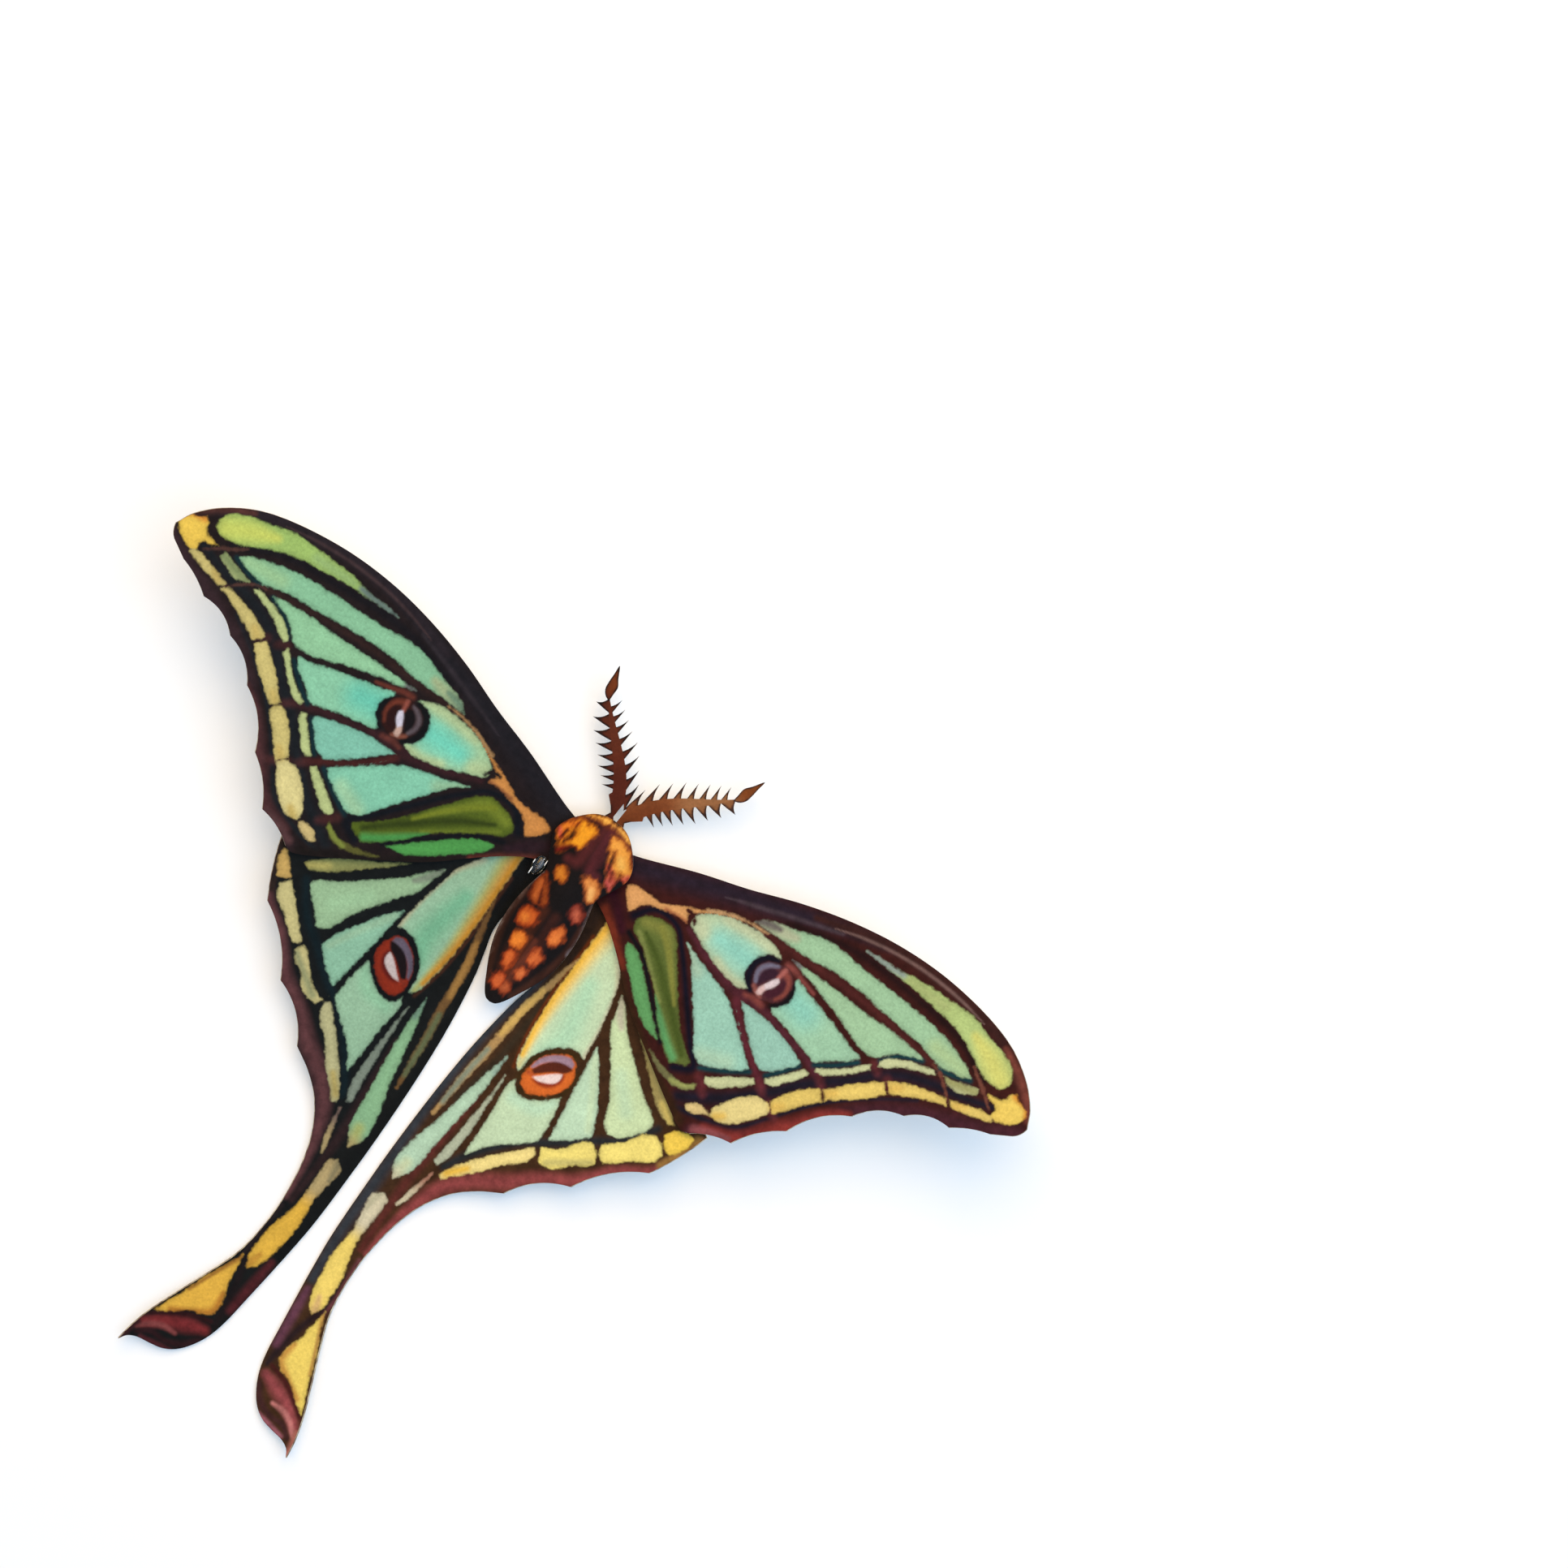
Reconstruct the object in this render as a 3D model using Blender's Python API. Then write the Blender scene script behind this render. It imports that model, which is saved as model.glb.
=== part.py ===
"""A still, life-size moon moth made of printed, cut and folded card.

Two folded cards make the wings: the forewing pair lies on the hindwing pair, whose tails
trail behind. A leaf-shaped body card stands on a pad of clear glue over the folds, and two
comb-shaped antennae come out from under its front edge.

Each card is drawn flat in millimetres: x is the distance out from the card's own centre
line, y is forward, towards the head. It is then cut out, folded or domed, and placed.
The model's origin is on the underside of the lower card, below the middle of the thorax,
with +X to the moth's right, +Y forward and +Z up. One Blender unit is a metre.
"""

import math

import bmesh
import bpy
from mathutils import Matrix, Vector

MM = 0.001

# Card stock, and the thin cuts that part one card into its named pieces.
CARD = 0.55
PARTING = 0.3
OUTLINE_STEP = 0.9

# The crease along the middle of each wing card: flat, then a bend, then straight again.
FLAT_HALF = 2.5
BEND_RADIUS = 10.0
WING_RISE = math.radians(16)
BEND_FACETS = 4

# How the cards are stacked and how far each was glued off the centre line.
HINDWING_SHIFT = 0.35
CARD_GAP = 0.42
GLUE_GAP = 0.3
BODY_SHIFT = 0.55
BODY_TURN = math.radians(0.7)
BODY_UNDERSIDE = 2.85

# The body card is domed across its width.
BODY_HALF_WIDTH = 4.2
BODY_DROP = 0.75
DOME_FACETS = 8
HEAD_CUT = 4.25
WAIST_CUT = -2.2

# The antennae: one comb, mirrored, on a root that is glued under the body card.
ANTENNA_ROOT = (0, 5.4)
ANTENNA_TURN = math.radians(-3.95)
ANTENNA_SPREAD = math.radians(40)
ANTENNA_SLOPE = math.radians(7)
COMB_START = (0.5, 0)
COMB_LENGTH = 11.3
COMB_BOW = 0.82
SHAFT_HALF = 0.58
SLOT_CENTRE = -0.1
SLOT_HALF = 0.28
SLOT_TOP = 2.3
ROOT_DEPTH = 2.8
ROOT_SIDE = [(1.22, 0.66), (0.83, 0.16), (1.05, -0.3), (1.25, -0.9), (1.25, -2.8)]

# Its teeth: where the first tip is along the comb, the pitch and its growth, and the lean.
TEETH = 8
OUTER_TEETH = (3.05, 0.8, 0.045, 0.0)
INNER_TEETH = (2.9, 1.43, -0.04, 0.25)
TOOTH_REACH = (1.15, 0.8)

# The glue: a pad between the wings and the body, and a bead pressed out at the left waist.
PAD_HALF_WIDTH = 1.3
PAD_BACK = -5.0
PAD_FRONT = 2.2
PAD_CORNER = 0.6
BEAD_CENTRE = (-3.75, -2.3)
BEAD_SIZE = (1.1, 2.0, 0.8)
BEAD_LIFT = 0.05

TAIL_CUT = -34.0

# Forewing: front edge, scalloped outer margin, hind edge.
COSTA = [(0, 2.6), (4.3, 3.7), (10, 5.8), (15, 7.35), (20, 9.15), (25, 10.5), (30, 11.3), (35, 11.45),
         (40, 10.9), (44, 9.85), (47, 8.15), (49, 6.2), (49.95, 4.4)]
FOREWING_TIPS = [(49.95, 4.4), (49.2, 3.1), (47.4, 2.05), (43.9, 0.3), (39.75, -1.3), (35.75, -4.2),
                 (31.5, -8.9), (27.8, -12.9), (24.0, -14.5)]
FOREWING_SCALLOPS = [-0.1, 0.0, 0.05, 0.12, 0.11, 0.1, 0.07, 0.07]
FOREWING_HIND_EDGE = [(24.0, -14.5), (22.9, -14.6), (20, -13.1), (16, -10.7), (12, -8.2), (8, -4.9),
                      (5, -2.8), (2.5, -1.8), (0, -1.6)]

# Hindwing: hidden front edge, scalloped margin, and the long tail down and back up.
HIND_COSTA = [(0, 2.2), (3, 1.6), (8, -1.5), (14, -6.0), (20, -10.6), (24.3, -13.3), (25.3, -13.9)]
HINDWING_TIPS = [(25.3, -13.9), (22.75, -19.8), (17.3, -25.3), (12.3, -29.6)]
HINDWING_SCALLOPS = [-0.03, 0.08, 0.1]
TAIL_OUTSIDE = [(12.3, -29.6), (10, -31.0), (8, -32.8), (6.4, -35.3), (5.45, -38), (4.95, -40.8),
                (4.75, -43.5), (4.9, -46.5), (5.4, -49.2), (6.5, -52), (7.8, -55), (9.05, -58),
                (9.7, -60.2), (10.0, -62.0)]
TAIL_END = [(10.0, -62.0), (9.5, -61.3), (8.6, -60.9), (7.2, -60.75), (5.9, -60.5), (4.7, -59.8),
            (3.7, -58.6), (2.9, -57), (2.4, -55), (2.05, -52.3), (1.7, -49.5), (1.3, -46),
            (1.0, -42.5), (0.88, -38), (0.85, -32), (1.05, -25.5), (1.45, -20), (2.15, -15),
            (2.8, -12.2), (3.35, -10), (3.2, -8), (2.0, -6.2), (0, -5.6)]

# Body card: from the front of the head round the thorax and waist to the abdomen's tip.
BODY_EDGE = [(0, 5.2), (1, 5.1), (2, 4.65), (3, 3.75), (3.8, 2.7), (4.17, 1.7), (4.15, 0.9),
             (3.75, -0.1), (3.15, -1.3), (2.8, -2.2), (2.95, -3.1), (3.3, -4.6), (3.52, -6.2),
             (3.55, -7.8), (3.4, -9.3), (3.05, -10.7), (2.5, -12.1), (1.85, -13.4), (1.2, -14.6),
             (0.6, -15.35), (0, -15.55)]

# Leaf at the end of each antenna, along and across its axis.
LEAF_INSIDE = [(11.0, -0.05), (11.45, -0.37), (12.1, -0.83)]
LEAF_POINT = [(12.1, -0.83), (12.9, -0.72), (14.15, -1.05)]
LEAF_OUTSIDE = [(14.15, -1.05), (13.4, -0.53), (12.7, -0.06), (12.0, 0.34), (11.3, 0.32), (11.05, 0.2)]

FINISHES = {
    "forewing_print": ((0.36, 0.44, 0.36), 0.75),
    "hindwing_print": ((0.42, 0.46, 0.34), 0.75),
    "body_print": ((0.17, 0.07, 0.04), 0.7),
    "antenna_card": ((0.24, 0.09, 0.04), 0.8),
    "clear_glue": ((0.85, 0.86, 0.84), 0.1),
}


def smooth_curve(points):
    """Points along a Catmull-Rom curve through the given ones, about OUTLINE_STEP apart."""
    first = [2 * points[0][i] - points[1][i] for i in (0, 1)]
    last = [2 * points[-1][i] - points[-2][i] for i in (0, 1)]
    run = [Vector(p) for p in [first, *points, last]]
    made = [run[1]]
    for before, start, end, after in zip(run, run[1:], run[2:], run[3:]):
        steps = max(2, round((end - start).length / OUTLINE_STEP))
        for k in range(1, steps + 1):
            u = k / steps
            pull = (2 * start
                    + (end - before) * u
                    + (2 * before - 5 * start + 4 * end - after) * u**2
                    + (3 * start - before - 3 * end + after) * u**3)
            made.append(pull / 2)
    return made


def scallop(start, end, depth):
    """Points after start on a shallow arc to end that sinks into the card by depth of its length."""
    start = Vector(start)
    end = Vector(end)
    run = end - start
    inward = Vector((run.y, -run.x))
    steps = max(2, round(run.length / OUTLINE_STEP))
    made = []
    for k in range(1, steps + 1):
        u = k / steps
        made.append(start + run * u + inward * (4 * depth * u * (1 - u)))
    return made


def scalloped_margin(tips, depths):
    made = []
    for start, end, depth in zip(tips, tips[1:], depths):
        made += scallop(start, end, depth)
    return made


def both_sides(half):
    """A whole outline from its right half, which starts and ends on the centre line."""
    left = [Vector((-p.x, p.y)) for p in reversed(half[1:-1])]
    return half + left


def clipped(outline, axis, limit, side):
    """The part of an outline beyond limit along axis, on its positive or negative side."""
    kept = []
    for here, there in zip(outline, outline[1:] + outline[:1]):
        inside = side * (here[axis] - limit) >= 0
        if inside:
            kept.append(here)
        if inside != (side * (there[axis] - limit) >= 0):
            share = (limit - here[axis]) / (there[axis] - here[axis])
            kept.append(here.lerp(there, share))
    return kept


def parted(outline, axis, limit, side):
    """One side of a thin parting cut that is centred on limit."""
    return clipped(outline, axis, limit + side * PARTING / 2, side)


def folded(x, y):
    """Where a point of a flat wing card goes when the card is creased: x, y and height."""
    side = math.copysign(1, x)
    out = abs(x)
    turned = min(max((out - FLAT_HALF) / BEND_RADIUS, 0), WING_RISE)
    beyond = max(out - FLAT_HALF - BEND_RADIUS * WING_RISE, 0)
    across = min(out, FLAT_HALF) + BEND_RADIUS * math.sin(turned) + beyond * math.cos(WING_RISE)
    height = BEND_RADIUS * (1 - math.cos(turned)) + beyond * math.sin(WING_RISE)
    return side * across, y, height


def fold_lines():
    bend = BEND_RADIUS * WING_RISE
    return [(0, side * (FLAT_HALF + bend * k / BEND_FACETS)) for side in (-1, 1) for k in range(BEND_FACETS + 1)]


def domed(x, y):
    return x, y, -BODY_DROP * (x / BODY_HALF_WIDTH) ** 2


def dome_lines():
    width = 2 * BODY_HALF_WIDTH / DOME_FACETS
    return [(0, width * k) for k in range(1 - DOME_FACETS // 2, DOME_FACETS // 2)]


def sloped(x, y):
    """The antennae lie flat under the body and rise from its front edge."""
    return x, y, max(y, 0) * math.tan(ANTENNA_SLOPE)


def level(x, y):
    return x, y, 0


def material(name):
    made = bpy.data.materials.get(name)
    if made:
        return made
    colour, roughness = FINISHES[name]
    made = bpy.data.materials.new(name)
    made.use_nodes = True
    shader = made.node_tree.nodes["Principled BSDF"]
    shader.inputs["Base Color"].default_value = (*colour, 1)
    shader.inputs["Roughness"].default_value = roughness
    shader.inputs["Metallic"].default_value = 0
    made.diffuse_color = (*colour, 1)
    return made


def flat_plate(name, outline, thickness):
    """A mesh of the outline cut from a sheet, centred on its own middle plane."""
    curve = bpy.data.curves.new(name, "CURVE")
    curve.dimensions = "2D"
    curve.fill_mode = "BOTH"
    curve.extrude = thickness / 2 * MM
    spline = curve.splines.new("POLY")
    spline.points.add(len(outline) - 1)
    for point, place in zip(spline.points, outline):
        point.co = (place.x * MM, place.y * MM, 0, 1)
    spline.use_cyclic_u = True
    drawn = bpy.data.objects.new(name, curve)
    bpy.context.scene.collection.objects.link(drawn)
    graph = bpy.context.evaluated_depsgraph_get()
    mesh = bpy.data.meshes.new_from_object(drawn.evaluated_get(graph))
    bpy.data.objects.remove(drawn)
    bpy.data.curves.remove(curve)
    mesh.name = name
    return mesh


def card(name, outline, finish, parent, lines=(), form=level, thickness=CARD):
    """A sub-part cut from card, creased along the given lines and bent to its form."""
    mesh = flat_plate(name, outline, thickness)
    shape = bmesh.new()
    shape.from_mesh(mesh)
    bmesh.ops.remove_doubles(shape, verts=shape.verts, dist=1e-6)
    for axis, place in lines:
        normal = Vector((0, 0, 0))
        normal[axis] = 1
        everything = shape.verts[:] + shape.edges[:] + shape.faces[:]
        bmesh.ops.bisect_plane(shape, geom=everything, plane_co=normal * place * MM, plane_no=normal)
    for vert in shape.verts:
        x, y, height = form(vert.co.x / MM, vert.co.y / MM)
        vert.co = (x * MM, y * MM, vert.co.z + height * MM)
    bmesh.ops.triangulate(shape, faces=shape.faces)
    bmesh.ops.recalc_face_normals(shape, faces=shape.faces)
    shape.to_mesh(mesh)
    shape.free()
    mesh.materials.clear()
    mesh.materials.append(material(finish))
    made = bpy.data.objects.new(name, mesh)
    bpy.data.collections[COLLECTION].objects.link(made)
    made.parent = parent
    return made


def placed_empty(name, location, turn=0.0, parent=None):
    made = bpy.data.objects.new(name, None)
    made.empty_display_size = 0.01
    made.location = [v * MM for v in location]
    made.rotation_euler = (0, 0, turn)
    made.parent = parent
    bpy.data.collections[COLLECTION].objects.link(made)
    return made


def make_forewings():
    half = smooth_curve(COSTA)
    half += scalloped_margin(FOREWING_TIPS, FOREWING_SCALLOPS)
    half += smooth_curve(FOREWING_HIND_EDGE)[1:]
    outline = both_sides(half)
    base = CARD + CARD_GAP + CARD / 2
    parent = placed_empty("forewing_pair", (0, 0, base))
    for name, side in (("forewing_right", 1), ("forewing_left", -1)):
        card(name, parted(outline, 0, 0, side), "forewing_print", parent, fold_lines(), folded)


def make_hindwings():
    half = smooth_curve(HIND_COSTA)
    half += scalloped_margin(HINDWING_TIPS, HINDWING_SCALLOPS)
    half += smooth_curve(TAIL_OUTSIDE)[1:]
    half += smooth_curve(TAIL_END)[1:]
    outline = both_sides(half)
    parent = placed_empty("hindwing_pair", (HINDWING_SHIFT, 0, CARD / 2))
    for ending, side in (("right", 1), ("left", -1)):
        wing = parted(outline, 0, 0, side)
        for name, part in (("hindwing", 1), ("tail", -1)):
            piece = parted(wing, 1, TAIL_CUT, part)
            card(f"{name}_{ending}", piece, "hindwing_print", parent, fold_lines(), folded)


def make_body(parent):
    outline = both_sides(smooth_curve(BODY_EDGE))
    head = parted(outline, 1, HEAD_CUT, 1)
    thorax = parted(parted(outline, 1, HEAD_CUT, -1), 1, WAIST_CUT, 1)
    abdomen = parted(outline, 1, WAIST_CUT, -1)
    for name, piece in (("head", head), ("thorax", thorax), ("abdomen", abdomen)):
        card(name, piece, "body_print", parent, dome_lines(), domed)


def shaft(along):
    """The comb's centre line, which bows inwards, and its half width, at a distance along its axis."""
    share = min(max(along / COMB_LENGTH, 0), 1)
    across = -COMB_BOW * 6.75 * share * (1 - share) ** 2
    return across, SHAFT_HALF * (1 - share**2.2)


def shaft_edge(along, side):
    across, half = shaft(along)
    return Vector((along, across + side * half))


def comb_side(side, teeth):
    """Valley, tooth, valley and so on along one side of the comb, from its base to the leaf."""
    first, pitch, growth, lean = teeth
    made = [shaft_edge(first - pitch, side)]
    for k in range(TEETH):
        along = first + pitch * k + growth * k**2
        share = min(along / COMB_LENGTH, 1)
        reach = TOOTH_REACH[0] + TOOTH_REACH[1] * math.sin(math.pi * share) ** 0.8
        tip = Vector((along, shaft(along)[0] + side * reach))
        valley = shaft_edge(along - lean, side)
        hollow = (tip + valley) / 2 - Vector((0.18, 0))
        made += [tip, hollow, valley]
    return made


def antenna_outline(side):
    """The antenna card on one side of the slot, drawn as if it were the right one."""
    leaf = smooth_curve(LEAF_INSIDE)
    leaf += smooth_curve(LEAF_POINT)[1:]
    leaf += smooth_curve(LEAF_OUTSIDE)[1:]
    comb = comb_side(-1, INNER_TEETH) + leaf + comb_side(1, OUTER_TEETH)[::-1]
    turn = Matrix.Rotation(math.pi / 2 - ANTENNA_SPREAD, 2)
    comb = [Vector(COMB_START) + turn @ Vector((p.x, -p.y)) for p in comb]
    slot = SLOT_HALF + side * SLOT_CENTRE
    root = [Vector(p) for p in [*ROOT_SIDE, (PARTING / 2, -ROOT_DEPTH), (PARTING / 2, -0.3),
                                (slot, 0), (slot, SLOT_TOP)]]
    return comb + root


def make_antennae(body):
    below = GLUE_GAP + CARD - domed(ROOT_SIDE[-1][0], 0)[2]
    root = (*ANTENNA_ROOT, -below)
    parent = placed_empty("antenna_pair", root, ANTENNA_TURN, body)
    right = antenna_outline(1)
    left = [Vector((-p.x, p.y)) for p in reversed(antenna_outline(-1))]
    for name, outline in (("antenna_right", right), ("antenna_left", left)):
        card(name, outline, "antenna_card", parent, [(1, 0)], sloped)


def make_glue(body):
    forewing_top = 2 * CARD + CARD_GAP
    bottom = forewing_top + GLUE_GAP
    pad_edge_drop = -domed(PAD_HALF_WIDTH, 0)[2]
    top = BODY_UNDERSIDE - pad_edge_drop - GLUE_GAP
    middle = (bottom + top) / 2 - (BODY_UNDERSIDE + CARD / 2)
    corners = [(PAD_HALF_WIDTH, PAD_FRONT), (PAD_HALF_WIDTH, PAD_BACK),
               (-PAD_HALF_WIDTH, PAD_BACK), (-PAD_HALF_WIDTH, PAD_FRONT)]
    outline = []
    for k, (x, y) in enumerate(corners):
        centre = Vector((x - math.copysign(PAD_CORNER, x), y - math.copysign(PAD_CORNER, y)))
        for share in (0, 0.5, 1):
            angle = math.pi / 2 * (1 - k - share)
            outline.append(centre + PAD_CORNER * Vector((math.cos(angle), math.sin(angle))))
    pad = card("glue_pad", outline, "clear_glue", body, thickness=top - bottom)
    pad.location.z = middle * MM
    shape = bmesh.new()
    bmesh.ops.create_uvsphere(shape, u_segments=12, v_segments=8, radius=0.5 * MM)
    bmesh.ops.scale(shape, vec=BEAD_SIZE, verts=shape.verts)
    mesh = bpy.data.meshes.new("glue_bead")
    shape.to_mesh(mesh)
    shape.free()
    mesh.materials.append(material("clear_glue"))
    mesh.shade_smooth()
    bead = bpy.data.objects.new("glue_bead", mesh)
    bpy.data.collections[COLLECTION].objects.link(bead)
    bead.parent = body
    height = bottom + BEAD_LIFT + BEAD_SIZE[2] / 2 - (BODY_UNDERSIDE + CARD / 2)
    bead.location = [v * MM for v in (*BEAD_CENTRE, height)]


COLLECTION = "paper_moth"

for old in list(bpy.data.objects):
    bpy.data.objects.remove(old)
bpy.context.scene.collection.children.link(bpy.data.collections.new(COLLECTION))
make_forewings()
make_hindwings()
body_empty = placed_empty("body_card", (BODY_SHIFT, 0, BODY_UNDERSIDE + CARD / 2), BODY_TURN)
make_body(body_empty)
make_antennae(body_empty)
make_glue(body_empty)
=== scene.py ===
"""A life-size moon moth made of printed card, cut out, folded and glued together.

Every size is in millimetres until a mesh is filled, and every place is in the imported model's frame:
+X to the moth's right, +Y towards its head, +Z up from the surface it lies on.
"""

import math

import bmesh
import bpy
import numpy as np
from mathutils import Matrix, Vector, noise
from mathutils.geometry import delaunay_2d_cdt
from mathutils.kdtree import KDTree


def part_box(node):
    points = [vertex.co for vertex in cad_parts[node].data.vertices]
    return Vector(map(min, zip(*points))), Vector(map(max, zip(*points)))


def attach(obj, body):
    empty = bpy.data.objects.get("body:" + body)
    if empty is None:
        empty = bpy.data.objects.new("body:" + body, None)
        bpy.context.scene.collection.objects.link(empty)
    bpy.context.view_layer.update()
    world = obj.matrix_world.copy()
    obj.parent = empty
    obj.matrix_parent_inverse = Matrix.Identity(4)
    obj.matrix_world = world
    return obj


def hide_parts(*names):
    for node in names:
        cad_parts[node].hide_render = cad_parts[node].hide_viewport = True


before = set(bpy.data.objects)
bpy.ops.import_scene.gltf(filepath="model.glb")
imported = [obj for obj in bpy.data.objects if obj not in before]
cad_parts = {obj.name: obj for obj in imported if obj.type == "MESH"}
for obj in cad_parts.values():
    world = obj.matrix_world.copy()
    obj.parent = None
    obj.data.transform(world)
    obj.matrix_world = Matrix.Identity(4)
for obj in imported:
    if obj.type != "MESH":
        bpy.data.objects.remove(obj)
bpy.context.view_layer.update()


# The view. The moth is seen from straight above with its head turned to the upper right, as on a
# table, and the picture leaves wide room beside it.
MM = 0.001
EYE = (11.45, 17.33, 450.0)
PICTURE_WIDTH = 149.15
PICTURE_TURN = math.radians(35.5)

view = bpy.data.cameras.new("view")
view.sensor_width = 36.0
view.lens = view.sensor_width * EYE[2] / PICTURE_WIDTH
view.clip_start = 0.01
view.clip_end = 10.0
eye = bpy.data.objects.new("view", view)
eye.location = [v * MM for v in EYE]
eye.rotation_euler = (0, 0, PICTURE_TURN)
bpy.context.scene.collection.objects.link(eye)
bpy.context.scene.camera = eye


# The table: a sheet of smooth white board, much larger than the moth, that takes its soft shadow.
TABLE_HALF = 1500.0
TABLE_WHITE = (0.9, 0.9, 0.9)


def principled(name, colour, roughness, specular=0.5):
    """A new material with one plain shader, which the piece's own nodes then feed."""
    made = bpy.data.materials.new(name)
    made.use_nodes = True
    shader = made.node_tree.nodes["Principled BSDF"]
    shader.inputs["Base Color"].default_value = (*colour, 1)
    shader.inputs["Roughness"].default_value = roughness
    shader.inputs["Specular IOR Level"].default_value = specular
    return made, made.node_tree, shader


board_mesh = bpy.data.meshes.new("table")
board_mesh.from_pydata([(x * TABLE_HALF * MM, y * TABLE_HALF * MM, 0)
                        for x, y in ((-1, -1), (1, -1), (1, 1), (-1, 1))], [], [(0, 1, 2, 3)])
board_mesh.materials.append(principled("white_board", TABLE_WHITE, 0.7, 0.2)[0])
board = bpy.data.objects.new("table", board_mesh)
bpy.context.scene.collection.objects.link(board)


# The light: a warm softbox over the left forewing, a cool one over the right, and a pale blue room.
ROOM_COLOUR = (0.635, 0.8, 1.0, 1)
ROOM_STRENGTH = 0.71
LAMP_DISTANCE = 0.7

bpy.context.scene.view_settings.view_transform = "Standard"
room = bpy.data.worlds.new("room")
room.use_nodes = True
room.node_tree.nodes["Background"].inputs["Color"].default_value = ROOM_COLOUR
room.node_tree.nodes["Background"].inputs["Strength"].default_value = ROOM_STRENGTH
bpy.context.scene.world = room


def softbox(name, direction, size, power, colour):
    """A square lamp, its sizes in metres, that faces the moth from the given direction."""
    lamp = bpy.data.lights.new(name, "AREA")
    lamp.shape = "SQUARE"
    lamp.size = size
    lamp.energy = power
    lamp.color = colour
    made = bpy.data.objects.new(name, lamp)
    towards = Vector(direction).normalized()
    made.location = towards * LAMP_DISTANCE
    made.rotation_mode = "QUATERNION"
    made.rotation_quaternion = towards.to_track_quat("Z", "Y")
    bpy.context.scene.collection.objects.link(made)


softbox("warm_softbox", (-0.27, 0.42, 1.0), 0.5, 3.1, (1.0, 0.62, 0.2))
softbox("cool_softbox", (0.28, 0.22, 1.0), 0.55, 2.4, (0.62, 0.8, 1.0))


# The lower wing card: the two hindwings with their long tails, one sheet of printed card that a laser
# cut out. It is creased along its middle, so that its halves rise to either side, and lies a little
# to the right of the upper card.
CARD = 0.42
FLAT_HALF = 2.5
BEND_RADIUS = 10.0
WING_RISE = math.radians(16)
LOWER_SHIFT = 0.35
CUT_STEP = 0.15
PRINT_PITCH = 0.15
BACK_PITCH = 1.5
CLEAR_OF_RIM = 0.62
SHARP_EDGE = math.radians(40)

HIND_COSTA = [(0, 2.2), (3, 1.6), (8, -1.5), (14, -6.0), (20, -10.6), (24.3, -13.3), (25.3, -13.9)]
HIND_TIPS = [(25.3, -13.9), (22.75, -19.8), (17.3, -25.3), (12.3, -29.6)]
HIND_SCALLOPS = [-0.03, 0.08, 0.1]
TAIL_OUTSIDE = [(12.3, -29.6), (10, -31.0), (8, -32.8), (6.4, -35.3), (5.45, -38), (4.95, -40.8),
                (4.75, -43.5), (4.9, -46.5), (5.4, -49.2), (6.5, -52), (7.8, -55), (9.05, -58),
                (9.7, -60.2), (10.0, -62.0)]
TAIL_INSIDE = [(10.0, -62.0), (9.5, -61.3), (8.6, -60.9), (7.2, -60.75), (5.9, -60.5), (4.7, -59.8),
               (3.7, -58.6), (2.9, -57), (2.4, -55), (2.05, -52.3), (1.7, -49.5), (1.3, -46),
               (1.0, -42.5), (0.88, -38), (0.85, -32), (1.05, -25.5), (1.45, -20), (2.15, -15),
               (2.8, -12.2), (3.35, -10), (3.2, -8), (2.0, -6.2), (0, -5.6)]


def smooth_line(points, closed=False, step=CUT_STEP, tightness=0.0):
    """Rows about step apart on a smooth line through the points. Further columns, such as a
    width, follow along. Full tightness, 0.5, keeps the line from swinging out where points crowd."""
    knots = np.array(points, float)
    if closed:
        run = np.vstack([knots[-1:], knots, knots[:2]])
    else:
        run = np.vstack([2 * knots[0] - knots[1], knots, 2 * knots[-1] - knots[-2]])
    rows = [] if closed else [knots[0]]
    for before, start, end, after in zip(run, run[1:], run[2:], run[3:]):
        gaps = [np.hypot(*(b - a)[:2]) ** (2 * tightness)
                for a, b in ((before, start), (start, end), (end, after))]
        leave = gaps[1] * ((start - before) / gaps[0] - (end - before) / (gaps[0] + gaps[1])) + (end - start)
        arrive = gaps[1] * ((after - end) / gaps[2] - (after - start) / (gaps[1] + gaps[2])) + (end - start)
        count = max(2, math.ceil(np.hypot(*(end - start)[:2]) / step))
        u = np.arange(1, count + 1)[:, None] / count
        rows += list(start * (2 * u**3 - 3 * u**2 + 1) + leave * (u**3 - 2 * u**2 + u)
                     + end * (3 * u**2 - 2 * u**3) + arrive * (u**3 - u**2))
    return np.array(rows)


def scalloped(tips, depths):
    """Shallow arcs from tip to tip, each sunk into the card by its depth times its length."""
    rows = [np.array(tips[:1], float)]
    for start, end, depth in zip(np.array(tips, float), np.array(tips[1:], float), depths):
        run = end - start
        count = math.ceil(np.hypot(*run) / CUT_STEP)
        u = np.arange(1, count + 1)[:, None] / count
        rows.append(start + run * u + np.array([run[1], -run[0]]) * (4 * depth * u * (1 - u)))
    return np.vstack(rows)


def both_halves(*edges):
    """A closed outline from the right half's edges, which meet end to end from front to back."""
    half = np.vstack([edges[0], *[edge[1:] for edge in edges[1:]]])
    return np.vstack([half, half[-2:0:-1] * (-1, 1)])


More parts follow.
